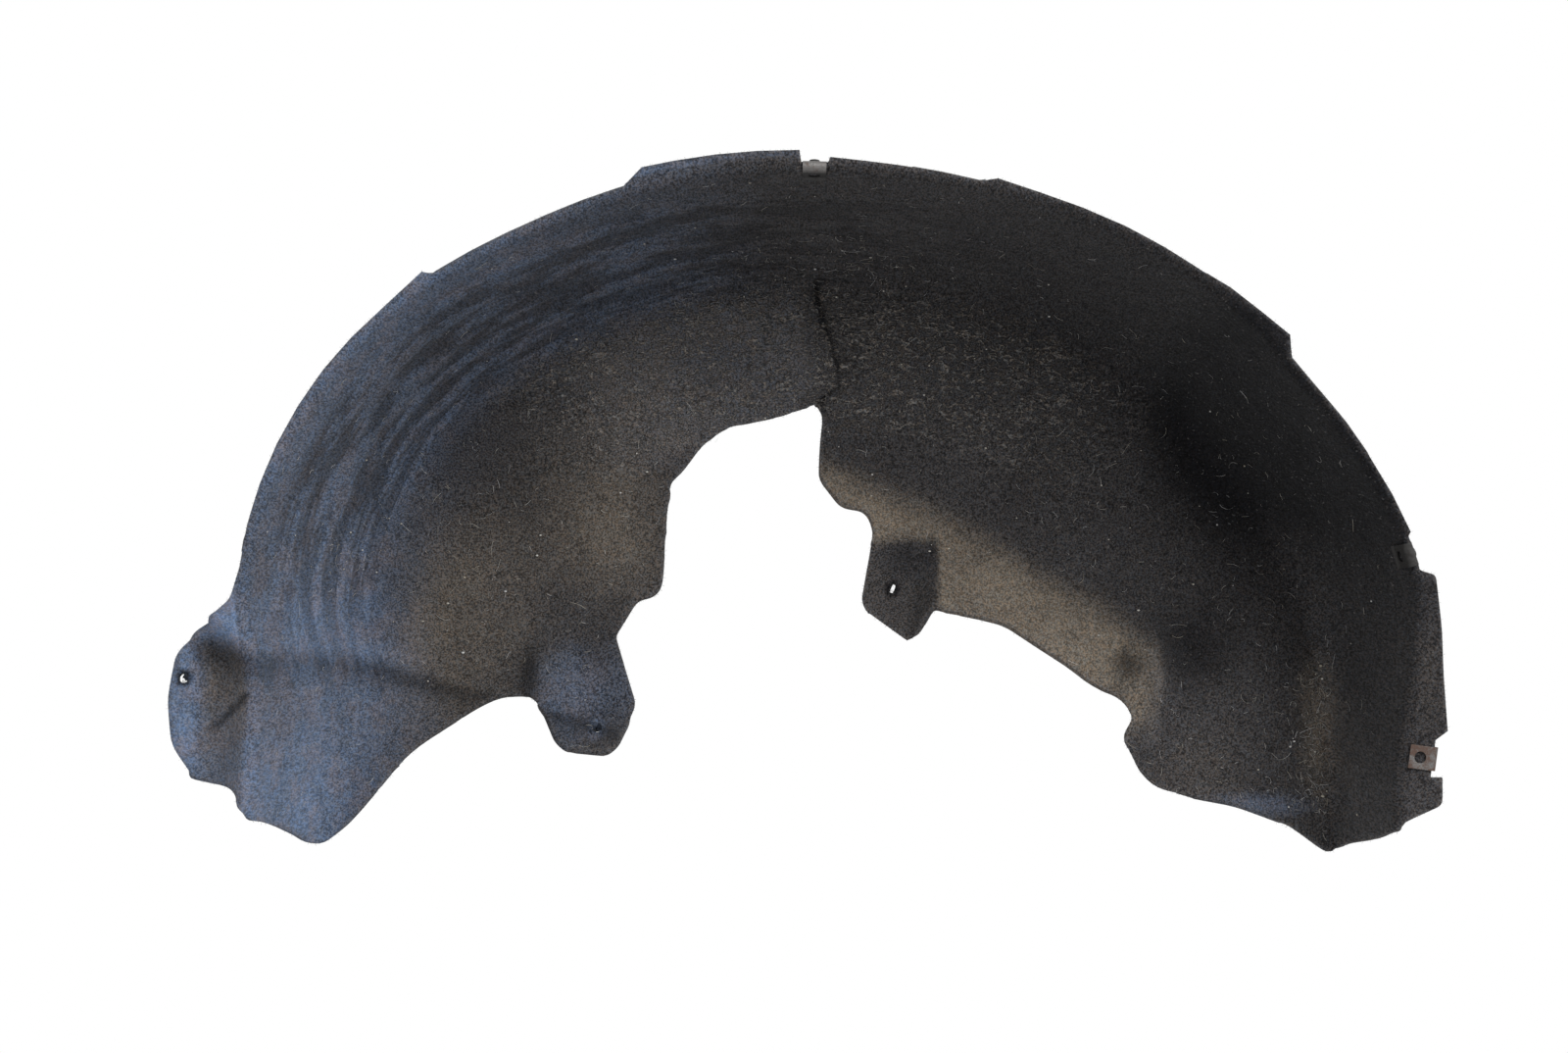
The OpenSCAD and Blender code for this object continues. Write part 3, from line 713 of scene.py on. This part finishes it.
def build_felt(sizes):
    """The felt shell: blank cut to its outline, dart opened and lapped, holes punched, then 4 mm thick."""
    arch = Arch(sizes)
    blank = Blank(arch, sizes.columns_front, sizes.columns_rear, sizes.wall_rows)
    bm, path = trimmed_blank(blank)
    bm.verts.ensure_lookup_table()
    grid = np.array([v.co[:2] for v in bm.verts])
    side = bm.verts.layers.float["front"]
    front = np.array([v[side] for v in bm.verts])
    a, d = blank.to_arch(grid[:, 0], grid[:, 1])
    p = arch.surface(a, d, front)
    n = arch.normals(a, d, front)
    cut = np.stack(arch.xz(*blank.to_arch(path[:, 0], path[:, 1])), -1)
    mask = felt_masks(arch, a, d, p, front, edge_gap(p[:, ::2], cut))
    p = p + n * felt_relief(arch, a, d, p, mask["matted"])[:, None]
    for v, q in zip(bm.verts, (p - arch.datum) * MM):
        v.co = q
    for name, values in mask.items():
        layer = bm.verts.layers.float.new(name)
        for v, value in zip(bm.verts, values):
            v[layer] = value
    joined = [v for v, aa, dd in zip(bm.verts, a, d) if aa == DART_AT and dd <= DART_TOP]
    bmesh.ops.remove_doubles(bm, verts=joined, dist=SEAM_GAP)
    for name in HOLES:
        punch(bm, *hole(name, sizes.felt_t))
    bmesh.ops.recalc_face_normals(bm, faces=bm.faces)
    if sum(f.normal.y * f.calc_area() for f in bm.faces) > 0:
        bmesh.ops.reverse_faces(bm, faces=bm.faces)
    piece = shown(bm, "felt_shell")
    solid = piece.modifiers.new("thickness", "SOLIDIFY")
    solid.thickness = sizes.felt_t
    solid.offset = -1
    edge = piece.modifiers.new("soft_edge", "BEVEL")
    edge.width = sizes.edge_round
    edge.segments = 2
    edge.limit_method = "ANGLE"
    edge.angle_limit = math.radians(55)
    return piece


class Wire:
    """A value or colour in a material; sums written with it become Math nodes."""

    def __init__(self, finish, socket):
        self.finish = finish
        self.socket = socket

    def sum(self, operation, first, second):
        return self.finish.node("ShaderNodeMath", {"operation": operation}, {0: first, 1: second})

    def __add__(self, other):
        return self.sum("ADD", self, other)

    def __radd__(self, other):
        return self.sum("ADD", other, self)

    def __sub__(self, other):
        return self.sum("SUBTRACT", self, other)

    def __rsub__(self, other):
        return self.sum("SUBTRACT", other, self)

    def __mul__(self, other):
        return self.sum("MULTIPLY", self, other)

    def __rmul__(self, other):
        return self.sum("MULTIPLY", other, self)

    def or_larger(self, other):
        return self.sum("MAXIMUM", self, other)


class Finish:
    """A material or the world under construction, with its first shader."""

    def __init__(self, owner, **constants):
        owner.use_nodes = True
        self.owner = owner
        self.tree = owner.node_tree
        self.surface = next(n for n in self.tree.nodes if "Output" in n.bl_idname).inputs["Surface"]
        self.shader = self.surface.links[0].from_node
        for socket, value in constants.items():
            self.shader.inputs[socket.replace("_", " ")].default_value = value

    def node(self, kind, settings=None, inputs=None, output=0):
        """Adds one node: its settings, then the values or wires of its sockets."""
        made = self.tree.nodes.new(kind)
        for key, value in (settings or {}).items():
            setattr(made, key, value)
        for key, value in (inputs or {}).items():
            if isinstance(value, Wire):
                self.tree.links.new(value.socket, made.inputs[key])
            else:
                made.inputs[key].default_value = value
        return Wire(self, made.outputs[output])

    def feed(self, socket, wire):
        """Links a wire to the first shader."""
        self.tree.links.new(wire.socket, self.shader.inputs[socket])

    def look_white(self, kind):
        """Shows white to camera, mirror and glass rays, and leaves the light on the liner as it is."""
        rays = ("Is Camera Ray", "Is Glossy Ray", "Is Transmission Ray")
        camera, mirror, glass = (self.node("ShaderNodeLightPath", {}, {}, ray) for ray in rays)
        white = self.node(kind, {}, {"Color": (1, 1, 1, 1)})
        both = self.node("ShaderNodeMixShader", {}, {
            0: camera.or_larger(mirror).or_larger(glass), 1: Wire(self, self.shader.outputs[0]), 2: white})
        self.tree.links.new(both.socket, self.surface)

    def place(self):
        """Object coordinates, which are metres in the record's frame."""
        return self.node("ShaderNodeTexCoord", {}, {}, "Object")

    def axis(self, place, name):
        return self.node("ShaderNodeSeparateXYZ", {}, {0: place}, name)

    def point(self, *xyz):
        return self.node("ShaderNodeCombineXYZ", {}, dict(enumerate(xyz)))

    def noise(self, place, scale, detail=2.0, rough=0.5, distort=0.0):
        return self.node("ShaderNodeTexNoise", {}, {
            "Vector": place, "Scale": scale, "Detail": detail, "Roughness": rough, "Distortion": distort})

    def attribute(self, name):
        return self.node("ShaderNodeAttribute", {"attribute_name": name}, {}, "Fac")

    def ramp(self, value, low, high):
        """0 to 1 between low and high, with a soft start and end."""
        return self.node("ShaderNodeMapRange", {"interpolation_type": "SMOOTHSTEP"}, {
            "Value": value, "From Min": low, "From Max": high})

    def blend(self, factor, first, second):
        return self.node("ShaderNodeMix", {"data_type": "RGBA"}, {0: factor, 6: first, 7: second}, 2)

    def bump(self, height, strength, distance):
        return self.node("ShaderNodeBump", {}, {
            "Height": height, "Strength": strength, "Distance": distance})


def felt_finish(colours):
    """Needle-punched felt: heathered fibres, matted wrinkles, streaks round the band, dust and mud, with
    painted bluish light, painted highlight and painted shade.

    Noise scales are bumps to the metre. The body side keeps only a little of the dirt and of the painted
    light and shade.
    """
    f = Finish(bpy.data.materials.new("felt"), Roughness=0.95, Sheen_Weight=0.05, Sheen_Roughness=0.5,
               Specular_IOR_Level=0.12)
    place = f.place()
    along, inward, upright = (f.axis(place, name) for name in "XYZ")
    drawn = f.point(along, inward * 0.3, upright)
    heather = f.noise(drawn, 800, 2, 0.75)
    fibre = f.noise(drawn, 720, 1, 0.5)
    clump = f.noise(drawn, 210, 3, 0.65)
    tint = f.noise(drawn, 620, 1, 0.5)
    mottle = f.noise(place, 48, 4, 0.6)
    patch = f.noise(place, 15, 3, 0.55)
    facing = f.axis(f.node("ShaderNodeTexCoord", {}, {}, "Normal"), "Y")
    wheel = 1 - f.ramp(facing, -0.04, 0.1)
    matted = f.attribute("matted") * wheel
    lay = f.point(f.attribute("round") * 15, f.attribute("inward") * 180, 0)
    streak = f.ramp(f.noise(lay, 1, 3, 0.6), 0.43, 0.60)
    streaked = f.attribute("streaked") * wheel
    worm = f.noise(f.point(along * 105, upright * 195, patch * 3), 1, 1, 0.5, 1.2)
    ridge = f.ramp(worm, 0.42, 0.50) * (1 - f.ramp(worm, 0.50, 0.58)) * matted
    # Road dust, with painted light on ledges, crest and heel
    dust = f.attribute("dust") * (0.3 + 0.7 * wheel) * (0.6 + 0.8 * mottle) * (0.7 + 0.6 * patch)
    dust = f.ramp(dust, 0, 1.15)
    # Painted bluish light on the front half, with a mud film
    cool = f.attribute("cool") * (0.15 + 0.85 * wheel) * (0.5 + 1.0 * mottle)
    # Painted shade and painted shadow in the rear corner, creases, recesses and under the dart's lap
    soot = f.attribute("soot") * (0.3 + 0.7 * wheel) * (0.6 + 0.7 * patch)
    colour = f.blend(0.35 * patch + 0.12 * matted, colours["black"], colours["grey"])
    colour = f.blend(dust, colour, colours["tan"])
    # The bluish film is painted light as well as mud
    skylight_and_mud_film = f.blend(f.ramp(mottle, 0.42, 0.62), colours["cool"], colours["violet"])
    colour = f.blend(cool, colour, skylight_and_mud_film)
    colour = f.blend(f.ramp(soot, 0, 1.1), colour, colours["soot"])
    colour = f.blend(streaked * (1 - streak) * (0.2 + 0.55 * mottle), colour, colours["soot"])
    # Painted bluish light on the raised streaks, with mud
    colour = f.blend(streaked * streak * f.attribute("cool") * 0.6, colour, skylight_and_mud_film)
    colour = f.blend(ridge * (0.46 + 0.5 * clump), colour, colours["worn"])
    colour = f.blend(f.attribute("frayed") * (0.15 + 0.5 * clump), colour, colours["grey"])
    depth = 1.35 - 0.8 * cool - 0.5 * dust
    grain = 0.88 + depth * (f.ramp(heather, 0.37, 0.63) - 0.5) + 0.24 * f.ramp(clump, 0.35, 0.65)
    colour = f.node("ShaderNodeVectorMath", {"operation": "SCALE"}, {0: colour, "Scale": grain})
    hue = f.blend(f.ramp(tint, 0.36, 0.64), (1.09, 0.99, 0.91, 1), (0.93, 1.0, 1.09, 1))
    colour = f.node("ShaderNodeVectorMath", {"operation": "MULTIPLY"}, {0: colour, 1: hue})
    colour = f.blend(f.ramp(fibre, 0.66, 0.76) * 0.5 * (0.2 + 0.8 * clump), colour, colours["fibre"])
    f.feed("Base Color", colour)
    height = heather * 0.5 + clump * 0.8 + mottle * 0.6 + ridge * 1.3 + streak * streaked * 0.9
    f.feed("Normal", f.bump(height, 0.9, 0.0018))
    return f.owner


def steel_finish(colours, name, rust_from, shade_from):
    """Phosphated spring steel, rusty in patches, and darker from one place on into the arch, for painted
    shade and dirt there.
    """
    f = Finish(bpy.data.materials.new(name), Specular_IOR_Level=0.3)
    place = f.place()
    grain = f.noise(place, 900, 3, 0.6)
    patch = f.noise(place, 220, 4, 0.65)
    rust = f.ramp(patch + grain * 0.35, rust_from, rust_from + 0.3)
    # Painted shade and dirt, from one depth on into the arch
    dirt = f.ramp(f.axis(place, "Y"), shade_from, shade_from + 0.003) * 0.96
    colour = f.blend(grain, colours["steel"], colours["pale"])
    colour = f.blend(rust, colour, colours["rust"])
    f.feed("Base Color", f.blend(dirt, colour, colours["dirt"]))
    f.feed("Metallic", (0.7 - rust * 0.65) * (1 - dirt))
    f.feed("Roughness", 0.5 + rust * 0.4)
    f.feed("Normal", f.bump(grain + rust * 0.8, 0.5, 0.0003))
    return f.owner


# Where rust starts in the noise, and from where on into the arch the steel takes painted shade and dirt, in
# metres
NUT_LOOKS = {
    "spring_nut_crown": (0.66, -0.0085),
    "spring_nut_rear_upper": (0.6, -0.02),
    "spring_nut_rear_lower": (0.47, 0.02),
}


def fray_finish(colours):
    """Felt fibres, darker and lighter in turn."""
    f = Finish(bpy.data.materials.new("fray"), Roughness=0.95, Specular_IOR_Level=0.1)
    f.feed("Base Color", f.blend(f.noise(f.place(), 300), colours["dark"], colours["light"]))
    return f.owner


def lint_finish(colours):
    """White hairs and straw."""
    f = Finish(bpy.data.materials.new("lint"), Roughness=0.8)
    straw = f.ramp(f.noise(f.place(), 60), 0.35, 0.65)
    f.feed("Base Color", f.blend(straw, colours["pale"], colours["straw"]))
    return f.owner


# Lengths and radii of what clings to the felt, shortest and longest, in metres
HAIR = (0.001, 0.004)
STRAW = (0.003, 0.009)
HAIR_RADIUS = (0.00007, 0.00013)
CRUMB_RADIUS = (0.0003, 0.0008)
EDGE_FIBRE = (0.0006, 0.0022)
EDGE_FIBRE_RADIUS = 0.00007
HOLE_FIBRE_RADIUS = 0.0001

# How many hairs are made on one small mesh
BATCH = 30

# Where dry grass has caught in the felt: angle, distance in, reach of the cluster in millimetres
TUFTS = ((4, 20, 24), (-1, 18, 20), (11, 22, 22), (88, 24, 30), (84, 32, 24), (154, 20, 26), (100, 30, 40))


def build_lint(sizes, lint):
    """Loose hairs, dry grass and seeds that lie on the felt."""
    arch = Arch(sizes)
    rng = random.Random(lint.seed)
    path, _ = rounded_path(arch, arch.outline(), 4.0)
    found = []
    for k in range(3 * (lint.hairs + lint.seeds)):
        a = rng.uniform(-6, 186)
        d = rng.uniform(2, 230)
        if k % 5 == 0:
            at, inward, reach = rng.choice(TUFTS)
            a = at + rng.gauss(0, 0.7) * reach / arch.arch_r * math.degrees(1)
            d = inward + abs(rng.gauss(0, 0.7)) * reach
        if d > 2 and rng.random() * arch.arch_r < float(arch.rim_r(a)) - d:
            found.append((a, d))
    found = np.array(found)
    a, d = found[inside(found, path)][:lint.hairs + lint.seeds].T
    front = (a > DART_AT).astype(float)
    p = arch.surface(a, d, front)
    n = arch.normals(a, d, front)
    p = (p - arch.datum) * MM
    makers = []
    for k in range(lint.hairs):
        normal = Vector(n[k])
        start = Vector(p[k]) + normal * 0.0011
        way = normal.orthogonal()
        way.rotate(Quaternion(normal, rng.uniform(0, math.tau)))
        length = rng.uniform(*(STRAW if k % 6 == 0 else HAIR))
        radius = rng.uniform(*HAIR_RADIUS)
        makers.append(partial(add_hair, start=start, way=way, normal=normal, length=length, radius=radius,
                              lengths=5, rng=rng))
    for k in range(lint.hairs, len(a)):
        normal = Vector(n[k])
        makers.append(partial(add_seed, place=Vector(p[k]) + normal * 0.0008, normal=normal, rng=rng))
    return shown(gathered(makers), "lint")


def build_fray(sizes, fray):
    """Short felt fibres that stand out of the cut edge and close in on the holes."""
    arch = Arch(sizes)
    rng = random.Random(fray.seed)
    path, _ = rounded_path(arch, arch.outline(), 1.5)
    a, d = path.T
    front = (a > DART_AT).astype(float)
    p = (arch.surface(a, d, front) - arch.datum) * MM
    n = arch.normals(a, d, front)
    makers = []
    for k in range(len(path)):
        normal = Vector(n[k])
        out = Vector(p[k - 1] - p[(k + 1) % len(path)]).cross(normal).normalized()
        for _ in range(fray.edge_fibres):
            start = Vector(p[k]) - normal * rng.uniform(0.2, 3.8) * MM - out * 0.3 * MM
            start += (Vector(p[k]) - Vector(p[k - 1])) * rng.uniform(-0.5, 0.5)
            way = out + normal * rng.uniform(-0.8, 0.8) + normal.cross(out) * rng.uniform(-1, 1)
            makers.append(partial(add_hair, start=start, way=way.normalized(), normal=normal, lengths=2,
                                  rng=rng, length=rng.uniform(*EDGE_FIBRE), radius=EDGE_FIBRE_RADIUS))
    for name in HOLES:
        centre, normal, radius = hole(name, sizes.felt_t)
        side = normal.orthogonal()
        for _ in range(fray.hole_fibres):
            side.rotate(Quaternion(normal, rng.uniform(0, math.tau)))
            start = centre + side * radius - normal * rng.uniform(0.5, 3.5) * MM
            way = -side + side.cross(normal) * rng.uniform(-0.8, 0.8)
            makers.append(partial(add_hair, start=start, way=way.normalized(), normal=normal, lengths=3,
                                  rng=rng, length=rng.uniform(0.6, 1.4) * radius, radius=HOLE_FIBRE_RADIUS))
    return shown(gathered(makers), "fray")


def gathered(makers):
    """Runs the makers on small meshes and puts these together, because operators are slow on a large mesh."""
    whole = bmesh.new()
    batch = bpy.data.meshes.new("batch")
    for first in range(0, len(makers), BATCH):
        bm = bmesh.new()
        for make in makers[first:first + BATCH]:
            make(bm)
        bm.to_mesh(batch)
        bm.free()
        whole.from_mesh(batch)
    bpy.data.meshes.remove(batch)
    return whole


def add_seed(bm, place, normal, rng):
    """A flat oval crumb that lies on the felt."""
    made = bmesh.ops.create_icosphere(bm, subdivisions=1, radius=rng.uniform(*CRUMB_RADIUS))["verts"]
    turn = normal.to_track_quat("Z", "Y").to_matrix()
    long = rng.uniform(1, 1.8)
    for v in made:
        v.co = turn @ Vector((v.co.x * long, v.co.y, v.co.z * 0.5)) + place


def add_hair(bm, start, way, normal, length, radius, lengths, rng):
    """One curved, three-sided hair, as a chain of straight lengths."""
    ring = bmesh.ops.create_circle(bm, cap_ends=True, segments=3, radius=radius)["verts"]
    turn = way.to_track_quat("Z", "Y").to_matrix()
    for v in ring:
        v.co = turn @ v.co + start
    edges = list({e for v in ring for e in v.link_edges})
    curl = rng.uniform(-0.9, 0.9)
    for _ in range(lengths):
        way.rotate(Quaternion(normal, curl * rng.uniform(0.2, 1)))
        step = way * length / lengths + normal * rng.uniform(-0.0003, 0.0004)
        made = bmesh.ops.extrude_edge_only(bm, edges=edges)["geom"]
        verts = [g for g in made if isinstance(g, bmesh.types.BMVert)]
        bmesh.ops.translate(bm, verts=verts, vec=step)
        edges = [g for g in made if isinstance(g, bmesh.types.BMEdge) and all(v in verts for v in g.verts)]


def size_prop(name, text, default, **more):
    """A length in metres."""
    return bpy.props.FloatProperty(name=name, description=text, default=default, unit="LENGTH",
                                   subtype="DISTANCE", precision=4, **more)


def count_prop(name, text, default):
    return bpy.props.IntProperty(name=name, description=text, default=default, min=0)


def power_prop(name, text, default):
    return bpy.props.FloatProperty(name=name, description=text, default=default, unit="POWER")


def colour_prop(name, text, default):
    return bpy.props.FloatVectorProperty(name=name, description=text, default=(*default, 1), size=4,
                                         subtype="COLOR", min=0, max=1)


class LinerFeltSettings(bpy.types.PropertyGroup):
    """Sizes and colours of the felt."""

    arch_r: size_prop("Arch radius", "Radius of the bend line about the wheel axis, at the crown", 0.404)
    arch_depth: size_prop("Arch depth", "Depth of the side wall behind the lip, at the crown", 0.180)
    band_draft: bpy.props.FloatProperty(
        name="Band draft", description="Draft of the tread band from the wheel axis",
        default=math.radians(10), unit="ROTATION", subtype="ANGLE")
    fillet_blend: size_prop("Blend", "Size of the blend between tread band and side wall", 0.150)
    lip_bend: size_prop("Lip bend", "Radius of the bend between lip and tread band", 0.008)
    felt_t: size_prop("Thickness", "Thickness of the felt", 0.004)
    edge_round: size_prop("Edge rounding", "Rounding of the cut edges", 0.0009)
    lip_w: size_prop("Lip", "Width of the plain lip", 0.006)
    crown_tab_w: size_prop("Crown lip", "Width of the wide lip in front of the crown notch", 0.012)
    rear_flange_w: size_prop("Rear flange", "Width of the flange at the rear end", 0.024)
    ear_w: size_prop("Ear", "Width of the ear at the front end", 0.058)
    ear_pocket: size_prop("Ear pocket", "Depth of the pocket between ear and arch", 0.015)
    ear_strip: size_prop("Ear strip", "Width of the flat strip along the ear", 0.024)
    dart_step: size_prop("Dart step", "How far the front flap lies before the rear one", 0.006)
    relief_w: size_prop("Relief slot", "Width of the slot at the top of the dart", 0.0025)
    nut_w: size_prop("Nut width", "Width of a spring nut along the edge", 0.015)
    columns_front: count_prop("Columns, front", "Grid columns before the dart", 204)
    columns_rear: count_prop("Columns, rear", "Grid columns behind the dart", 198)
    wall_rows: count_prop("Rows", "Grid rows over band and wall", 106)
    black: colour_prop("Black", "Clean felt", (0.022, 0.021, 0.022))
    grey: colour_prop("Grey", "Worn and frayed felt", (0.075, 0.073, 0.074))
    # Tan paints road dust and also painted light on ledges and crest
    tan: colour_prop("Tan", "Road dust", (0.146, 0.124, 0.097))
    # Cool and violet grey paint bluish light on the front half, as well as a fine mud film
    cool: colour_prop("Cool grey", "Fine mud film", (0.120, 0.170, 0.264))
    violet: colour_prop("Violet grey", "Mud film over worn felt", (0.144, 0.160, 0.216))
    # A soot-dark colour for painted shade and shadow, and for grime streaks round the band
    soot: colour_prop("Soot", "Dark, oily dirt", (0.006, 0.006, 0.007))
    worn: colour_prop("Worn", "Worn crests of the matted wrinkles", (0.150, 0.140, 0.128))
    fibre: colour_prop("Fibre", "Light single fibres", (0.190, 0.185, 0.180))


class LinerLintSettings(bpy.types.PropertyGroup):
    """What clings to the felt."""

    hairs: count_prop("Hairs", "Number of loose hairs and straws", 1100)
    seeds: count_prop("Seeds", "Number of seeds and crumbs", 110)
    seed: count_prop("Random seed", "Start of the random draws", 11)
    pale: colour_prop("Pale", "White hairs", (0.50, 0.50, 0.50))
    straw: colour_prop("Straw", "Dry straw and seeds", (0.36, 0.33, 0.27))


class LinerFraySettings(bpy.types.PropertyGroup):
    """The cut edge of the felt."""

    edge_fibres: count_prop("Edge", "Fibres at each step along the cut edge", 1)
    hole_fibres: count_prop("Holes", "Fibres in each hole", 46)
    seed: count_prop("Random seed", "Start of the random draws", 5)
    dark: colour_prop("Dark", "Dark felt fibres", (0.018, 0.018, 0.019))
    light: colour_prop("Light", "Lighter felt fibres", (0.085, 0.083, 0.085))


class LinerNutSettings(bpy.types.PropertyGroup):
    """Colours of the spring nuts."""

    steel: colour_prop("Steel", "Phosphated steel", (0.050, 0.046, 0.044))
    pale: colour_prop("Pale", "Worn bright steel", (0.22, 0.215, 0.21))
    rust: colour_prop("Rust", "Surface rust", (0.070, 0.044, 0.034))
    # Dark colour for painted shade and dirt deeper in the arch
    dirt: colour_prop("Dirt", "Dark dirt inside the arch", (0.013, 0.0125, 0.012))


class LinerStageSettings(bpy.types.PropertyGroup):
    """Camera, floor and light."""

    camera_x: size_prop("Camera X", "Camera place along the arch, from the wheel axis", -0.0214)
    camera_back: size_prop("Camera distance", "Camera distance before the lip plane", 1.5)
    camera_z: size_prop("Camera height", "Camera height above the wheel axis", 0.1776)
    pixel: size_prop("Pixel", "Size of a photograph pixel at the lip plane", 0.00062)
    floor_drop: size_prop("Floor drop", "How far the floor lies below the liner", 0.3)
    floor_half: size_prop("Floor size", "Half a side of the square floor", 12)
    key_size: size_prop("Key size", "Side of the key light", 1.3)
    fill_size: size_prop("Fill size", "Side of the fill light", 1.6)
    key_power: power_prop("Key", "Power of the key light", 56)
    fill_power: power_prop("Fill", "Power of the fill light", 11)
    ambient: bpy.props.FloatProperty(
        name="Ambient", description="Strength of the white surroundings", default=0.34)


def colours_of(settings):
    """The colours of a property group, by name."""
    return {key: tuple(getattr(settings, key)) for key, prop in settings.bl_rna.properties.items()
            if prop.subtype == "COLOR"}


class LINER_OT_felt(bpy.types.Operator):
    """Make the moulded felt shell"""

    bl_idname = "liner.felt"
    bl_label = "Felt shell"

    def execute(self, context):
        settings = context.scene.liner_felt
        piece = build_felt(settings)
        piece.data.materials.append(felt_finish(colours_of(settings)))
        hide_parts("liner")
        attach(piece, "root")
        return {"FINISHED"}


class LINER_OT_lint(bpy.types.Operator):
    """Scatter hairs, straw and seeds over the felt"""

    bl_idname = "liner.lint"
    bl_label = "Lint"

    def execute(self, context):
        settings = context.scene.liner_lint
        piece = build_lint(context.scene.liner_felt, settings)
        piece.data.materials.append(lint_finish(colours_of(settings)))
        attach(piece, "root")
        return {"FINISHED"}


class LINER_OT_fray(bpy.types.Operator):
    """Fray the cut edge and the holes"""

    bl_idname = "liner.fray"
    bl_label = "Frayed edge"

    def execute(self, context):
        settings = context.scene.liner_fray
        piece = build_fray(context.scene.liner_felt, settings)
        piece.data.materials.append(fray_finish(colours_of(settings)))
        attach(piece, "root")
        return {"FINISHED"}


class LINER_OT_nuts(bpy.types.Operator):
    """Give the spring nuts their rusty steel"""

    bl_idname = "liner.nuts"
    bl_label = "Spring nuts"

    def execute(self, context):
        colours = colours_of(context.scene.liner_nuts)
        for name, look in NUT_LOOKS.items():
            steel = steel_finish(colours, name, *look)
            for slot in frame["nodes"][name].material_slots:
                slot.material = steel
        return {"FINISHED"}


# The photograph's width in pixels, and the lights' places from the liner's middle in metres
PHOTO_WIDTH = 1600
KEY_OFFSET = Vector((1.15, -1.35, 1.25))
FILL_OFFSET = Vector((-1.3, -1.5, 0.5))


class LINER_OT_stage(bpy.types.Operator):
    """Set the floor, the lights and the camera"""

    bl_idname = "liner.stage"
    bl_label = "Stage"

    def execute(self, context):
        scene = context.scene
        stage = scene.liner_stage
        datum = Vector(Arch(scene.liner_felt).datum * MM)
        camera = bpy.data.cameras.new("camera")
        camera.sensor_width = 36
        camera.lens = camera.sensor_width * stage.camera_back / stage.pixel / PHOTO_WIDTH
        eye = bpy.data.objects.new("camera", camera)
        eye.location = Vector((stage.camera_x, -stage.camera_back, stage.camera_z)) - datum
        eye.rotation_euler = (math.pi / 2, 0, 0)
        scene.collection.objects.link(eye)
        scene.camera = eye
        low, high = CAD_BOX
        centre = (low + high) / 2
        add_floor(scene, low.z - stage.floor_drop, stage.floor_half)
        add_light(scene, "key", centre, KEY_OFFSET, stage.key_size, stage.key_power)
        add_light(scene, "fill", centre, FILL_OFFSET, stage.fill_size, stage.fill_power)
        add_surroundings(scene, stage.ambient)
        scene.view_settings.view_transform = "Standard"
        return {"FINISHED"}


def add_floor(scene, z, half):
    """Pale floor that looks white."""
    bm = bmesh.new()
    bmesh.ops.create_grid(bm, x_segments=2, y_segments=2, size=half)
    bmesh.ops.translate(bm, verts=bm.verts, vec=(0, 0, z))
    floor = shown(bm, "floor")
    finish = Finish(bpy.data.materials.new("floor"), Base_Color=(0.82, 0.82, 0.82, 1), Roughness=0.9)
    finish.look_white("ShaderNodeEmission")
    floor.data.materials.append(finish.owner)


def add_light(scene, name, target, offset, size, power):
    """Square soft light that faces the target."""
    lamp = bpy.data.lights.new(name, "AREA")
    lamp.size = size
    lamp.energy = power
    light = bpy.data.objects.new(name, lamp)
    light.location = target + offset
    light.rotation_mode = "QUATERNION"
    light.rotation_quaternion = (-offset).to_track_quat("-Z", "Y")
    scene.collection.objects.link(light)


def add_surroundings(scene, ambient):
    """Even light from all sides, seen as white."""
    scene.world = bpy.data.worlds.new("surroundings")
    Finish(scene.world, Color=(1, 1, 1, 1), Strength=ambient).look_white("ShaderNodeBackground")


class LINER_PT_panel(bpy.types.Panel):
    """Buttons for the liner's pieces"""

    bl_idname = "LINER_PT_panel"
    bl_label = "Wheel arch liner"
    bl_space_type = "VIEW_3D"
    bl_region_type = "UI"
    bl_category = "Liner"

    def draw(self, context):
        column = self.layout.column(align=True)
        for operator in OPERATORS:
            column.operator(operator.bl_idname)


SETTINGS = {
    "liner_felt": LinerFeltSettings, "liner_fray": LinerFraySettings, "liner_lint": LinerLintSettings,
    "liner_nuts": LinerNutSettings, "liner_stage": LinerStageSettings,
}
OPERATORS = (LINER_OT_felt, LINER_OT_fray, LINER_OT_lint, LINER_OT_nuts, LINER_OT_stage)
CLASSES = (*SETTINGS.values(), *OPERATORS, LINER_PT_panel)


def register():
    for cls in CLASSES:
        bpy.utils.register_class(cls)
    for name, group in SETTINGS.items():
        setattr(bpy.types.Scene, name, bpy.props.PointerProperty(type=group))


def unregister():
    for name in SETTINGS:
        delattr(bpy.types.Scene, name)
    for cls in reversed(CLASSES):
        bpy.utils.unregister_class(cls)


def main():
    register()
    bpy.ops.liner.felt()
    bpy.ops.liner.fray()
    bpy.ops.liner.lint()
    bpy.ops.liner.nuts()
    bpy.ops.liner.stage()


if __name__ == "__main__":
    main()
